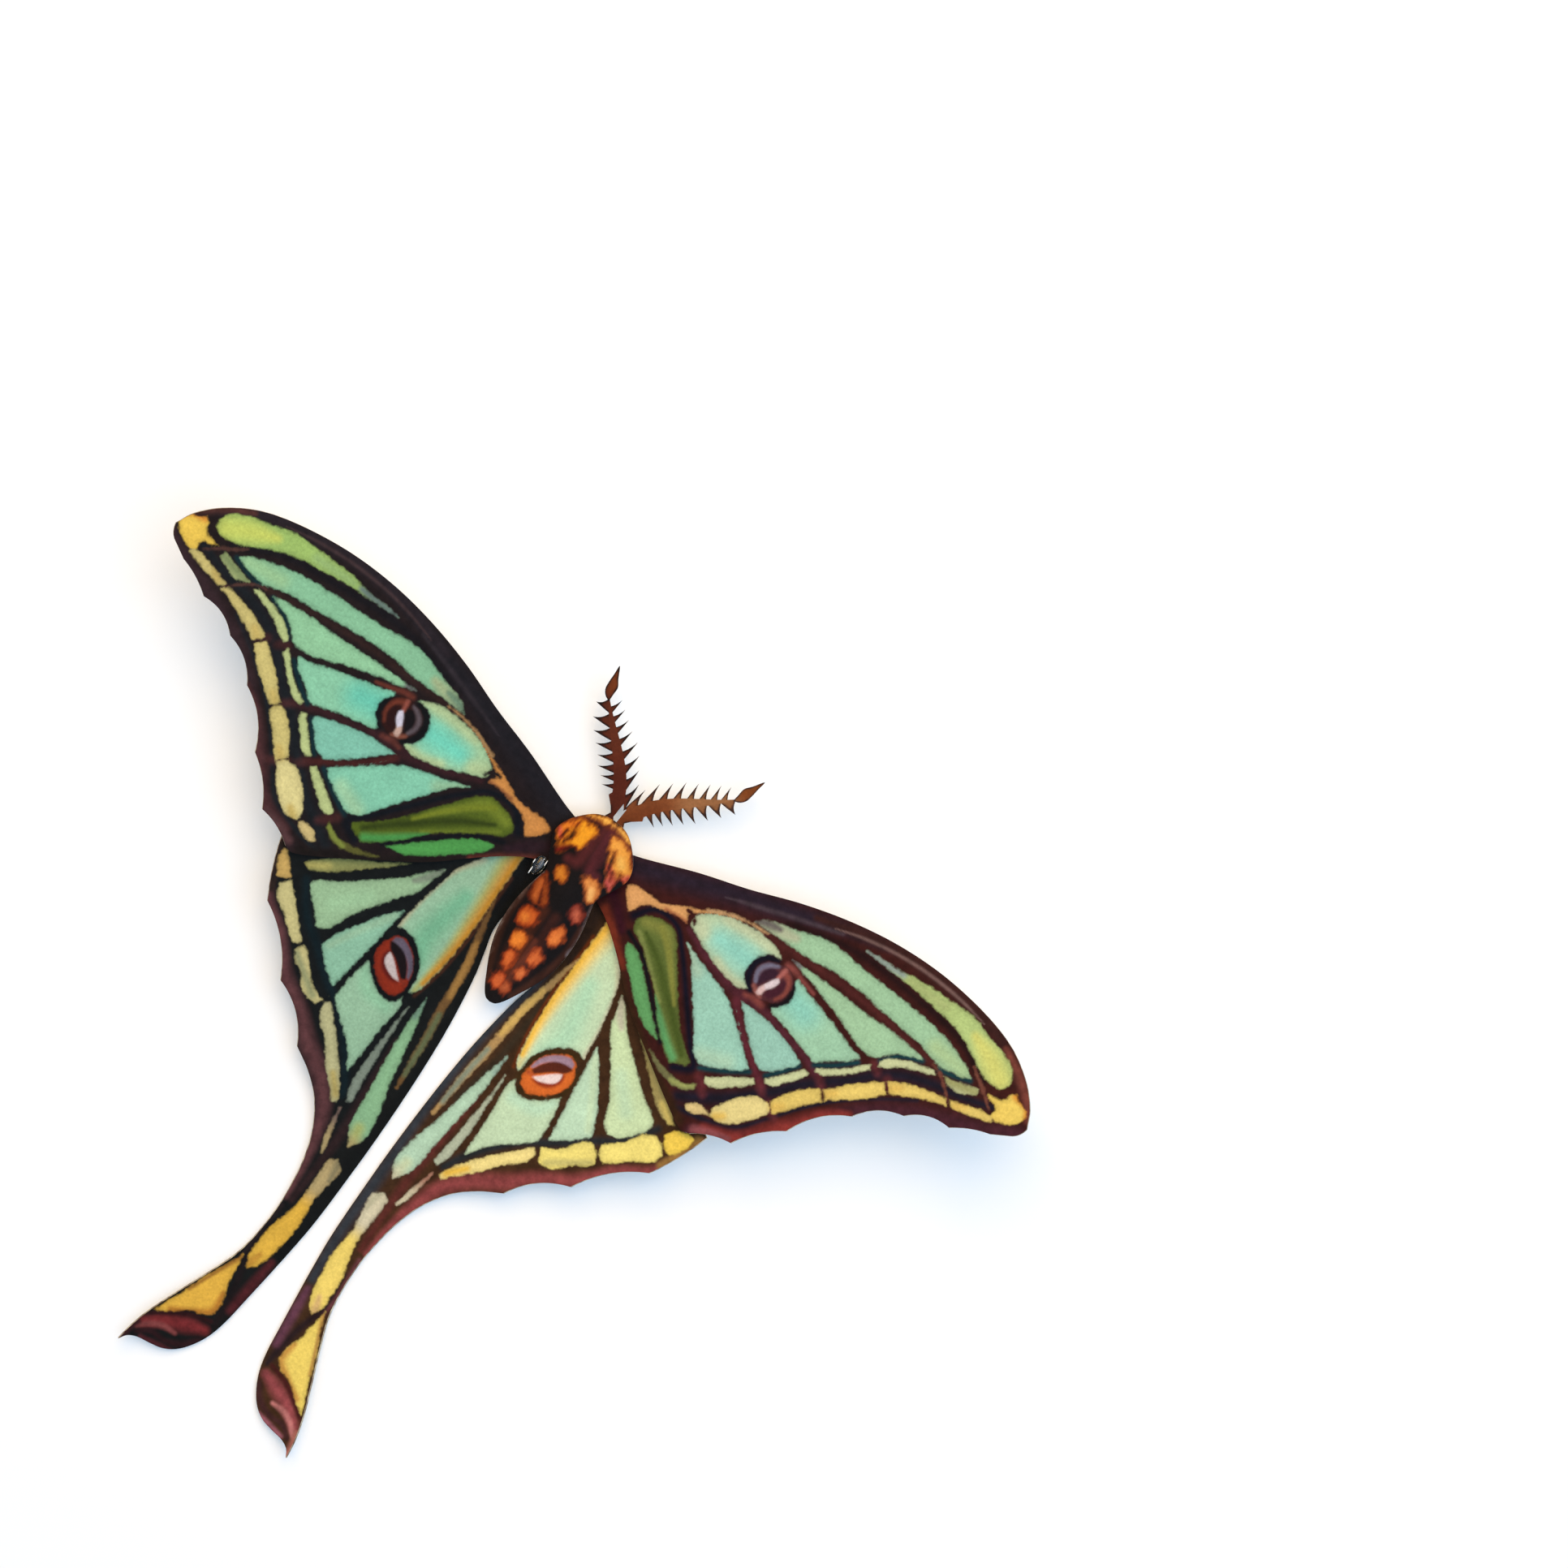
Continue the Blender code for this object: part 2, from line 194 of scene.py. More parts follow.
def triangles_over(outline, pitch):
    """Even triangles over a cut-out: the outline's points first, then a lattice inside it."""
    rim = KDTree(len(outline))
    for k, (x, y) in enumerate(outline):
        rim.insert((x, y, 0), k)
    rim.balance()
    low, high = outline.min(0), outline.max(0)
    lattice = []
    for row, y in enumerate(np.arange(low[1], high[1], pitch * math.sqrt(0.75))):
        for x in np.arange(low[0] + row % 2 * pitch / 2, high[0], pitch):
            if rim.find((x, y, 0))[2] > CLEAR_OF_RIM * pitch:
                lattice.append((x, y))
    flat = [Vector(p) for p in outline] + [Vector(p) for p in lattice]
    found, _, faces, origins, _, _ = delaunay_2d_cdt(flat, [], [list(range(len(outline)))], 1, 1e-7)
    used = sorted({v for face in faces for v in face})
    order = sorted(used, key=lambda v: origins[v][0])
    place = {v: k for k, v in enumerate(order)}
    return np.array([found[v] for v in order]), [[place[v] for v in face] for face in faces]


def creased(flat, lift):
    """Where points of a flat wing card go when its two halves are folded up."""
    out = np.abs(flat[:, 0])
    turned = np.clip((out - FLAT_HALF) / BEND_RADIUS, 0, WING_RISE)
    beyond = np.clip(out - FLAT_HALF - BEND_RADIUS * WING_RISE, 0, None)
    across = (np.minimum(out, FLAT_HALF) + (BEND_RADIUS - lift) * np.sin(turned)
              + beyond * math.cos(WING_RISE))
    height = (BEND_RADIUS * (1 - np.cos(turned)) + beyond * math.sin(WING_RISE) + lift * np.cos(turned))
    return np.stack([np.sign(flat[:, 0]) * across, flat[:, 1], height], 1)


def card_piece(name, outline, form, finishes, pitch):
    """A closed piece of card, with the printed face, the cut edge and the plain back as its three
    finishes. Its outline runs clockwise. Gives the object, its flat points and how many are on the face."""
    face, face_triangles = triangles_over(outline, pitch)
    back, back_triangles = triangles_over(outline, BACK_PITCH)
    rim = len(outline)
    points = np.vstack([form(face, CARD / 2), form(back, -CARD / 2)]) * MM
    start = len(face)
    wall = [(k, (k + 1) % rim, start + (k + 1) % rim, start + k) for k in range(rim)]
    under = [[start + v for v in reversed(t)] for t in back_triangles]
    mesh = bpy.data.meshes.new(name)
    mesh.from_pydata(points.tolist(), [], face_triangles + under + wall)
    kinds = [0] * len(face_triangles) + [2] * len(under) + [1] * len(wall)
    mesh.polygons.foreach_set("material_index", kinds)
    for finish in finishes:
        mesh.materials.append(finish)
    flat = np.vstack([face, back])
    pattern = mesh.uv_layers.new(name="pattern")
    corners = np.zeros(len(mesh.loops), np.int32)
    mesh.loops.foreach_get("vertex_index", corners)
    pattern.data.foreach_set("uv", flat[corners].astype(np.float32).ravel())
    mesh.shade_smooth()
    mesh.set_sharp_from_angle(angle=SHARP_EDGE)
    made = bpy.data.objects.new(name, mesh)
    bpy.context.scene.collection.objects.link(made)
    return made, flat, start


# A mark of the print reaches at most FAR from its line, and its outline keeps a corner where it turns
# by more than CORNER. The inks are weaker than the seen colours by the lamps' light on each half of the
# folded card and by the sheen of its matt face. SHEEN takes out only part of that sheen on the wings' right
# half. The rest stays in the colours there as painted sheen, which makes the right half's dark inks lighter
# and warmer than the left's.
FAR = 3.0
CORNER = math.radians(38.7)
MARK_STEP = 0.3
FULL = 0.5
DARKEST = 0.003
LIGHTEST = 0.95
LAMPLIGHT = ((1.16, 1.19, 1.13), (1.16, 1.17, 1.17))
SHEEN = 0.012


def linear(colour):
    """A colour as seen on a screen, 0 to 255, turned into amounts of light."""
    c = np.array(colour, float) / 255
    return np.where(c <= 0.04045, c / 12.92, ((c + 0.055) / 1.055) ** 2.4)


def ease(x):
    """A share from 0 to 1 that starts and ends softly."""
    x = np.clip(x, 0, 1)
    return x * x * (3 - 2 * x)


def nearest(places, line):
    """How far each place is from a line, and the line's further columns at its nearest point."""
    away = np.full(len(places), np.inf)
    extra = np.zeros((len(places), line.shape[1] - 2))
    for a, b in zip(line, line[1:]):
        run = b[:2] - a[:2]
        from_a = places - a[:2]
        share = np.clip(from_a @ run / (run @ run), 0, 1)
        gap = np.hypot(*(from_a - share[:, None] * run).T)
        better = gap < away
        away[better] = gap[better]
        extra[better] = a[2:] + share[better, None] * (b[2:] - a[2:])
    return away, extra


def ring_through(points):
    """A closed line through the points, smooth but for its sharp corners."""
    knots = np.array(points, float)
    ahead = np.roll(knots, -1, 0) - knots
    behind = np.roll(ahead, 1, 0)
    turn = (ahead * behind).sum(1) / np.hypot(*ahead.T) / np.hypot(*behind.T)
    corners = np.nonzero(turn < math.cos(CORNER))[0]
    if len(corners) == 0:
        return smooth_line(points, True, MARK_STEP, FULL)
    runs = []
    for start, end in zip(corners, [*corners[1:], corners[0] + len(knots)]):
        run = knots[np.arange(start, end + 1) % len(knots)]
        runs.append(smooth_line(run, False, MARK_STEP, FULL)[:-1])
    return np.vstack(runs)


class Print:
    """What is printed on a card, worked out at the points of its face. A point knows how deep it lies
    inside a light patch, with less than zero in the dark lines between them, and it has the colour
    of its light patch and of the dark ink. A colour is given as seen on the right and the left half. On the
    wing cards the right half's colours also hold painted sheen of the warm lamp, most in the dark inks."""

    def __init__(self, flat, light, dark, sheen=SHEEN, lamps=LAMPLIGHT):
        self.side = np.where(flat[:, 0] < 0, -1, 1)
        self.places = np.abs(flat) * (1, 0) + flat * (0, 1)
        self.sheen = sheen
        self.lamps = np.array(lamps)
        every = np.arange(len(flat))
        self.depth = np.full(len(flat), -FAR)
        self.light = self.dyed(every, light)
        self.dark = self.dyed(every, dark)

    def dyed(self, here, colour):
        """The ink that some points take to be seen in a colour."""
        right, left = (linear(c) for c in colour)
        ink = np.where(self.side[here, None] < 0, left / self.lamps[1], (right - self.sheen) / self.lamps[0])
        return np.clip(ink, DARKEST, LIGHTEST)

    def near(self, line, side):
        """Which points may lie near a line: on the right half, side 1, the left, side -1, or both, 0."""
        low = line[:, :2].min(0) - FAR
        high = line[:, :2].max(0) + FAR
        close = ((self.places > low) & (self.places < high)).all(1)
        return np.nonzero(close & ((self.side == side) | (side == 0)))[0]

    def depth_in(self, points, side):
        """The points near a smooth closed line, and how deep each lies inside it."""
        ring = ring_through(points)
        here = self.near(ring, side)
        x, y = self.places[here].T
        within = np.zeros(len(here), bool)
        for (x0, y0), (x1, y1) in zip(ring, np.roll(ring, -1, 0)):
            if y0 != y1:
                within ^= ((y0 > y) != (y1 > y)) & (x < x0 + (y - y0) * (x1 - x0) / (y1 - y0))
        away, _ = nearest(self.places[here], np.vstack([ring, ring[:1]]))
        return here, np.where(within, away, -away)

    def along(self, points, side):
        """The points near a smooth open line, or a dot, how far each is from it and its width there."""
        knots = points if len(points) > 1 else [points[0], np.add(points[0], (0.01, 0, 0))]
        line = smooth_line(knots, False, MARK_STEP, FULL)
        here = self.near(line, side)
        away, width = nearest(self.places[here], line)
        return here, away, width[:, 0]

    def lay(self, here, depth, colour):
        """Puts a light patch down where it is deeper than what is there."""
        closer = depth > self.depth[here]
        self.depth[here[closer]] = depth[closer]
        self.light[here[closer]] = self.dyed(here[closer], colour)

    def area(self, colour, *points, grown=0.04, side=0):
        """A light patch inside a closed line, a little wider than drawn as ink spreads."""
        here, depth = self.depth_in(points, side)
        self.lay(here, depth + grown, colour)

    def streak(self, colour, *points, side=0):
        """A light stroke along a line whose third column is its width."""
        here, away, width = self.along(points, side)
        self.lay(here, width / 2 - away, colour)

    def line(self, *points, side=0):
        """A dark stroke."""
        here, away, width = self.along(points, side)
        self.depth[here] = np.minimum(self.depth[here], away - width / 2)

    def blot(self, *points, side=0):
        """A dark patch inside a closed line."""
        here, depth = self.depth_in(points, side)
        self.depth[here] = np.minimum(self.depth[here], -depth)

    def wash(self, layer, colour, *points, strength=1.0, side=0):
        """Thin colour over the light patches or the dark ink, fading out to a line's third column."""
        here, away, reach = self.along(points, side)
        amount = strength * ease(1 - away / reach)[:, None]
        layer[here] += (self.dyed(here, colour) - layer[here]) * amount

    def patch(self, layer, colour, *points, soft=0.15, side=0):
        """Full colour inside a closed line with a soft edge, over the light or the dark parts."""
        here, depth = self.depth_in(points, side)
        amount = ease((depth + soft) / (2 * soft))[:, None]
        layer[here] += (self.dyed(here, colour) - layer[here]) * amount

    def fill(self, piece):
        """Puts the print on a piece whose face comes first among its points."""
        rest = len(piece.data.vertices) - len(self.depth)
        for name, values in (("light", self.light), ("dark", self.dark)):
            layer = piece.data.attributes.new(name, "FLOAT_COLOR", "POINT")
            rows = np.hstack([np.vstack([values, np.zeros((rest, 3))]), np.ones((len(values) + rest, 1))])
            layer.data.foreach_set("color", rows.astype(np.float32).ravel())
        layer = piece.data.attributes.new("depth", "FLOAT", "POINT")
        layer.data.foreach_set("value", np.append(self.depth, np.zeros(rest)).astype(np.float32))


def node(tree, kind, inputs, **settings):
    """A new node. An input given as another node's output is joined, and anything else is its value."""
    made = tree.nodes.new(kind)
    for name, value in settings.items():
        setattr(made, name, value)
    for name, value in inputs.items():
        if isinstance(value, bpy.types.NodeSocket):
            tree.links.new(value, made.inputs[name])
        else:
            made.inputs[name].default_value = value
    return made


def spread(tree, value, start, end, low, high, kind="LINEAR"):
    """A value between start and end turned into one between low and high."""
    made = node(tree, "ShaderNodeMapRange", {"Value": value, "From Min": start, "From Max": end,
                                             "To Min": low, "To Max": high}, interpolation_type=kind)
    return made.outputs["Result"]


def clouds(tree, place, per_mm, detail, low, high):
    """Cloudy unevenness with so many clouds a millimetre, between low and high."""
    made = node(tree, "ShaderNodeTexNoise", {"Vector": place, "Scale": per_mm / MM, "Detail": detail})
    return spread(tree, made.outputs["Fac"], 0.3, 0.7, low, high)


def blend(tree, amount, first, second, kind="MIX"):
    """Two colours mixed, from none to all of the second."""
    made = node(tree, "ShaderNodeMix", {0: amount, 6: first, 7: second}, data_type="RGBA", blend_type=kind)
    return made.outputs[2]


def times(tree, colour, amount):
    """A colour darkened or lightened by an amount, or tinted by a colour."""
    return blend(tree, 1.0, colour, amount, "MULTIPLY")


def printed(name, ragged, soft, strokes=1.0, rim=(0.8, 0.8, 0.8, 1), rim_width=0.5):
    """Card with a matt print: the patches' edges waver like brushed ink, in strokes so many times as
    long as wide, the patches are tinted towards their rims and the paper's grain shows."""
    made, tree, shader = principled(name, (0.4, 0.42, 0.35), 0.46, 0.06)
    place = node(tree, "ShaderNodeTexCoord", {}).outputs["Object"]
    read = {key: node(tree, "ShaderNodeAttribute", {}, attribute_name=key)
            for key in ("depth", "light", "dark")}
    brushed = node(tree, "ShaderNodeVectorMath", {0: place, 1: (1, 1 / strokes, 1)},
                   operation="MULTIPLY").outputs[0]
    waver = clouds(tree, brushed, 1.8, 5, -ragged, ragged)
    depth = node(tree, "ShaderNodeMath", {0: read["depth"].outputs["Fac"], 1: waver}).outputs[0]
    light = times(tree, read["light"].outputs["Color"],
                  blend(tree, spread(tree, depth, 0, rim_width, 0, 1), rim, (1.02, 1.02, 1.02, 1)))
    light = times(tree, light, clouds(tree, place, 0.35, 4, 0.93, 1.07))
    light = times(tree, light, clouds(tree, place, 3.2, 2, 0.92, 1.08))
    dark = times(tree, read["dark"].outputs["Color"], clouds(tree, brushed, 1.1, 5, 0.76, 1.3))
    ink = blend(tree, spread(tree, depth, -soft, soft, 0, 1, "SMOOTHSTEP"), dark, light)
    ink = times(tree, ink, clouds(tree, place, 4.5, 3, 0.92, 1.08))
    tree.links.new(ink, shader.inputs["Base Color"])
    tree.links.new(clouds(tree, place, 2.5, 3, 0.42, 0.54), shader.inputs["Roughness"])
    fibre = clouds(tree, place, 7, 3, 0, 1)
    bump = node(tree, "ShaderNodeBump", {"Height": fibre, "Strength": 0.25, "Distance": 0.015 * MM})
    tree.links.new(bump.outputs["Normal"], shader.inputs["Normal"])
    return made


def bare_card(name, first, second, per_mm):
    """Card without a print: plain on the back, and browned in places where the laser cut it."""
    made, tree, shader = principled(name, first[:3], 0.85, 0.2)
    place = node(tree, "ShaderNodeTexCoord", {}).outputs["Object"]
    fibres = times(tree, blend(tree, clouds(tree, place, per_mm, 4, 0, 1), first, second),
                   clouds(tree, place, 6, 3, 0.93, 1.07))
    tree.links.new(fibres, shader.inputs["Base Color"])
    return made


def lower_form(flat, lift):
    """From the lower card's flat frame to the model's."""
    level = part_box("hindwing_right")[0].z / MM + CARD / 2
    return creased(flat, lift) + (LOWER_SHIFT, 0, level)


lower_print = printed("lower_print", 0.1, 0.15)
cut_edge = bare_card("cut_edge", (0.12, 0.05, 0.02, 1), (0.7, 0.6, 0.42, 1), 1.4)
card_back = bare_card("card_back", (0.72, 0.69, 0.61, 1), (0.82, 0.8, 0.73, 1), 0.6)

lower_outline = both_halves(smooth_line(HIND_COSTA), scalloped(HIND_TIPS, HIND_SCALLOPS),
                            smooth_line(TAIL_OUTSIDE), smooth_line(TAIL_INSIDE))
lower, lower_flat, lower_face = card_piece("lower_wing_card", lower_outline, lower_form,
                                           (lower_print, cut_edge, card_back), PRINT_PITCH)

LOWER_LAMPLIGHT = ((1.14, 1.12, 1.02), (1.14, 1.17, 1.18))
# The right value of each colour is lighter than the left partly because the print differs and partly by
# painted sheen of the warm lamp, most in the dark inks.
HIND_GREEN = ((200, 219, 172), (148, 186, 152))
HIND_MINT = ((182, 218, 174), (118, 178, 140))
HIND_DARK = ((70, 50, 37), (16, 18, 17))
HIND_YELLOW = ((243, 220, 118), (200, 190, 130))
ORANGE = ((252, 198, 80), (196, 140, 46))
MAROON = ((144, 72, 68), (90, 54, 55))

hind = Print(lower_flat[:lower_face], HIND_GREEN, HIND_DARK, lamps=LOWER_LAMPLIGHT)
light, dark = hind.light, hind.dark

# The long cell beside the body, orange at its inner side, and the cells between the veins.
hind.area(HIND_GREEN, (5.1, -2), (5.1, -5), (5.0, -10), (5.15, -14), (5.6, -17.5), (6.1, -19.1),
          (6.5, -19.4), (6.9, -18.5), (8, -17), (10.2, -14.6), (11.1, -14.8), (10.9, -13), (10.2, -9.5),
          (9.6, -7.3), (8.4, -5.2), (6.5, -3))
hind.wash(light, HIND_MINT, (7.4, -9, 1.6), (8, -12, 2.2), (8.3, -14.5, 2.4), (7.6, -16.5, 1.6))
hind.wash(light, ((222, 214, 172), (184, 182, 146)), (8.4, -5, 1.0), (9.9, -7.5, 0.7), (10.6, -10, 0.7),
          (11.1, -13, 0.7), (11.2, -14.6, 0.7))
hind.wash(light, ((222, 212, 146), (164, 170, 104)), (6.4, -3.5, 1.2), (6.0, -7, 1.2), (5.8, -11, 1),
          (5.8, -15, 0.8), (6.2, -19, 0.6))
hind.wash(light, ORANGE, (5.5, -2.5, 1.3), (5.3, -6, 1.3), (5.2, -10, 1.1), (5.3, -14, 0.9),
          (5.9, -18, 0.5))
hind.area(HIND_GREEN, (6.65, -20.6), (6.8, -24), (6.9, -27.3), (7.05, -28.8), (7.8, -27.6), (9, -26.3),
          (10.6, -25), (12.1, -23.7), (12.05, -22), (11.8, -20.4), (11.5, -19.1), (11, -18.9), (9, -19),
          (7.5, -19.4))
hind.wash(light, ((192, 220, 178), (144, 192, 154)), (7.6, -21.8, 1.2), (10.4, -21.2, 1.2), (11.2, -20, 1))
hind.area(((194, 219, 178), (140, 188, 157)), (11.55, -13.3), (11.75, -15), (12.25, -18.5), (12.7, -21.4),
          (12.95, -22.9), (13.9, -22.3), (15.3, -21.2), (16.1, -20.3), (15.3, -18.4), (14, -16.4),
          (12.5, -14.3))
hind.wash(light, HIND_GREEN, (12, -14.2, 0.9), (13.8, -17, 0.7), (15.5, -20, 0.7))
hind.area(((204, 220, 164), (150, 184, 142)), (10.55, -7.9), (11.05, -9.5), (11.5, -10.9), (12.7, -12.5),
          (14, -14.3), (15.6, -16.6), (16.6, -18.7), (17.3, -19.2), (18.4, -18.8), (19.5, -17.7),
          (20.4, -16.3), (20.2, -15.8), (18.2, -14.5), (15.6, -12.5), (13, -10.4), (11.6, -8.8))
hind.wash(light, ((196, 190, 156), (126, 140, 118)), (10.8, -8.2, 0.9), (11.5, -9.4, 0.9),
          (12.4, -10.4, 0.5))
hind.wash(light, ((196, 218, 170), (156, 194, 150)), (15, -14, 1.2), (17.5, -16.5, 1.3))
hind.area(((176, 158, 96), (140, 142, 84)), (13.6, -9.2), (15.2, -10.3), (18, -11.8), (20.5, -13.4),
          (22, -14.8), (21.5, -15.1), (20, -14.5), (18, -13), (16, -11.3), (14.6, -10.1))
hind.wash(light, ((214, 190, 104), (176, 168, 96)), (20, -13.8, 0.7), (21.8, -14.9, 0.7))
hind.area(((180, 206, 168), (134, 178, 134)), (4.8, -19), (4.85, -22), (4.5, -26), (4, -30), (3.6, -33.2),
          (2.6, -34.8), (1.9, -33.6), (2, -31), (2.8, -28), (3.5, -24.5), (4.3, -20.8))
hind.wash(light, ((158, 182, 156), (114, 148, 124)), (4.75, -19.2, 0.9), (4.7, -21, 0.6))
hind.wash(light, ((196, 204, 156), (160, 172, 104)), (2.8, -32.8, 1), (2.5, -34.5, 1))
hind.area(((184, 188, 154), (126, 138, 122)), (5.75, -20.6), (5.65, -23), (5.4, -26), (5.15, -29),
          (4.9, -31), (5.35, -31.3), (5.85, -30), (6.05, -27.5), (5.95, -24), (5.85, -21.5))
hind.streak(((186, 146, 90), (112, 82, 46)), (5.0, -7.4, 0.15), (4.5, -9.5, 0.5), (3.95, -12, 0.75),
            (3.4, -14.5, 0.9), (3.15, -17, 0.85), (2.95, -19.5, 0.85), (2.55, -22, 0.8),
            (2.35, -24.5, 0.65), (2.1, -27.5, 0.35))
hind.wash(light, ((222, 178, 96), (160, 120, 62)), (3.9, -12, 0.6), (3.4, -14.8, 0.8), (3.0, -17.5, 0.6))
hind.wash(light, ((140, 144, 116), (98, 106, 72)), (2.8, -19.6, 0.6), (2.45, -22.5, 0.7), (2.2, -26, 0.7))
hind.streak(((182, 130, 104), (118, 98, 88)), (5.45, -32.2, 0.25), (5.1, -34, 0.5), (4.7, -35.6, 0.5),
            (4.4, -36.6, 0.25))

# The yellow spots along the outer margin.
hind.area(((246, 206, 84), (196, 162, 92)), (22.0, -16.0), (22.7, -15.2), (23.5, -14.8), (24.3, -14.9),
          (24.3, -15.7), (23.8, -16.6), (23.4, -17.2), (22.7, -16.9), grown=0.14)
hind.area(HIND_YELLOW, (17.55, -20.35), (19.2, -18.85), (20.7, -17.0), (21.3, -16.7), (22.1, -17.1),
          (22.7, -17.8), (22.4, -18.6), (20.5, -19.9), (19.4, -20.9), (18.5, -21.5), (18, -21.2),
          grown=0.14)
hind.area(HIND_YELLOW, (12.9, -24.0), (13.8, -23.6), (14.8, -22.7), (15.7, -21.4), (16.5, -20.9),
          (17.2, -21.2), (17.8, -22.1), (17.1, -22.9), (16.2, -23.4), (15.3, -24.5), (14.3, -25.1),
          (13.4, -25.1), grown=0.14)
hind.area(((248, 222, 136), (184, 180, 132)), (6.2, -31.8), (6.8, -30.6), (7.7, -29.4), (9.5, -27.3),
          (11.2, -25.5), (12.2, -24.5), (12.6, -24.8), (12.3, -25.7), (10.5, -27.5), (8.7, -29.7),
          (7.2, -31.2), (6.5, -32.0), grown=0.12)
hind.line((23.4, -14.8, 1.0), (22.4, -15.5, 1.4), (21.0, -16.8, 1.6), (19.9, -17.9, 1.6),
          (18.7, -19.1, 1.6), (17.6, -20.3, 1.5), (16.5, -21.0, 1.5), (15.3, -22.2, 1.5),
          (14.0, -23.5, 1.4), (13.0, -24.1, 1.0), side=-1)
hind.wash(light, ((236, 188, 76), (176, 160, 96)), (6.6, -31.3, 0.9), (8, -29.8, 0.6))
hind.wash(light, ((206, 190, 110), (150, 152, 108)), (14, -24.8, 0.7), (17.6, -22.3, 0.6))

# The tail: a pale streak that turns yellow, a second yellow field outside it and a wine-red tip.
hind.area(((240, 208, 104), (222, 176, 66)), (1.9, -37), (2.7, -36.4), (3.4, -36.8), (3.45, -38.5),
          (3.3, -40.6), (3.35, -42), (3.7, -43.5), (4.15, -45), (4.35, -47), (4.2, -49), (3.8, -49.7),
          (3.2, -49.1), (2.7, -48), (2.35, -46), (2.1, -44), (2.2, -42.5), (2.35, -41), (2.1, -39),
          (1.9, -37.8))
hind.patch(light, ((214, 200, 160), (176, 156, 108)), (0, -34), (6, -34), (6, -40.9), (0, -40.9), soft=1.2)
hind.wash(light, ((190, 180, 142), (136, 126, 92)), (2.4, -36.6, 0.8), (2.2, -38.5, 0.4))
hind.wash(light, ((216, 176, 110), (190, 140, 52)), (3.9, -49.3, 0.9), (3.5, -48, 0.5))
hind.area(((243, 211, 102), (228, 178, 68)), (4.85, -48.8), (5.4, -50.2), (6.4, -52.2), (7.4, -54.7),
          (8.4, -57), (8.8, -57.9), (7.3, -57), (5.8, -56), (4.4, -55.6), (3.8, -55), (3.8, -53.8),
          (4.35, -52.2), (4.6, -50.5))
hind.wash(light, ((212, 156, 74), (186, 124, 44)), (4.2, -53, 0.5), (4, -55, 0.9), (5.5, -56, 0.7),
          (7.5, -57, 0.6))
hind.wash(light, ((196, 148, 76), (168, 116, 46)), (4.95, -49.2, 0.7), (5.8, -51.2, 0.4),
          (7.2, -54.4, 0.35))

# The dark parts: black inner margin, brown veins, a slate line inside the spots, a maroon edge.
hind.wash(dark, ((58, 60, 62), (12, 15, 15)), (3.2, -8, 0.9), (2.9, -11.5, 0.9), (1.9, -17, 0.9),
          (1.4, -23, 0.9), (1.3, -30, 0.9), (1.4, -36, 1.2), (1.5, -42, 1.1), (1.9, -47, 0.9))
hind.wash(dark, ((56, 44, 38), (12, 11, 9)), (3.6, -1.5, 1.5), (4.2, -5, 1.4), (4.3, -8, 1))
hind.wash(dark, ((60, 50, 40), (16, 17, 15)), (4.5, -12, 0.6), (4.5, -16, 1), (4.3, -19, 0.8),
          (3.2, -25, 0.7))
hind.wash(dark, ((104, 54, 34), (60, 32, 18)), (4.85, -5, 0.35), (4.8, -12, 0.3), (5.1, -16, 0.3),
          (5.9, -19.4, 0.35))
hind.wash(dark, ((92, 50, 44), (42, 26, 26)), (4.6, -24, 0.8), (4.2, -30, 0.9), (3.9, -34, 0.9),
          (3.9, -38, 0.8), (4.1, -42, 0.6))
hind.wash(dark, ((48, 50, 50), (12, 26, 30)), (21, -16, 0.7), (18.5, -19.2, 0.8), (17, -20.2, 0.8),
          (15, -21.8, 0.8), (13.4, -23, 0.8), (11, -24.6, 0.8), (8.5, -27.2, 0.8), (7, -29.2, 0.8),
          (6, -31, 0.7))
hind.wash(dark, MAROON, (25.2, -14.4, 0.5), (22.9, -19.6, 1), (20.2, -21.4, 0.9), (17.3, -24.6, 1.2),
          (14, -26.7, 1.2), (12.2, -28.4, 1.4), (9, -30.6, 1.4), (7, -32.8, 1.3), (5.9, -35.6, 1.1),
          (5.2, -38.4, 0.8), (4.8, -42, 0.6))
hind.wash(dark, ((150, 112, 60), (36, 26, 20)), (24.9, -14.6, 0.8), (24.2, -16.4, 0.7), (23.2, -18.6, 0.6))
hind.wash(dark, ((104, 62, 62), (36, 26, 26)), (4.7, -43, 0.6), (4.9, -47, 0.5), (4.8, -49, 0.4))
hind.wash(dark, ((50, 40, 40), (24, 16, 16)), (4.2, -45, 0.5), (4.4, -49, 0.6), (3.7, -51.5, 0.7),
          (3.2, -54.5, 0.8), (3.1, -56, 0.5))
hind.wash(dark, ((100, 62, 72), (72, 27, 31)), (2.1, -48, 0.6), (2.4, -51, 0.9), (2.7, -54, 0.7))
hind.wash(dark, ((150, 76, 74), (116, 40, 41)), (3.6, -56.9, 0.8), (5.4, -57.4, 1.3), (7.3, -58.1, 1.2),
          (9, -59.4, 0.9))
hind.wash(dark, ((190, 118, 108), (124, 62, 60)), (5.8, -58.7, 0.35), (7.2, -58.7, 0.5),
          (8.4, -59.2, 0.5), (9.3, -60, 0.4))
hind.wash(dark, ((70, 46, 44), (40, 18, 20)), (3.5, -58, 0.6), (4.6, -59.2, 0.7), (6.2, -59.8, 0.5),
          (8, -59.8, 0.5), (9, -60.5, 0.4))
hind.wash(dark, ((148, 88, 92), (74, 32, 36)), (5.2, -60.3, 0.4), (6.8, -60.5, 0.45), (8.4, -60.7, 0.4))
hind.wash(dark, ((176, 108, 90), (52, 24, 26)), (9.4, -59.6, 0.5), (9.8, -60.8, 0.6), (10, -61.8, 0.6))
hind.wash(dark, ((74, 40, 38), (44, 16, 16)), (3.6, -55.9, 0.4), (5.6, -56.4, 0.45), (7.5, -57.4, 0.45),
          (8.9, -58.3, 0.35))

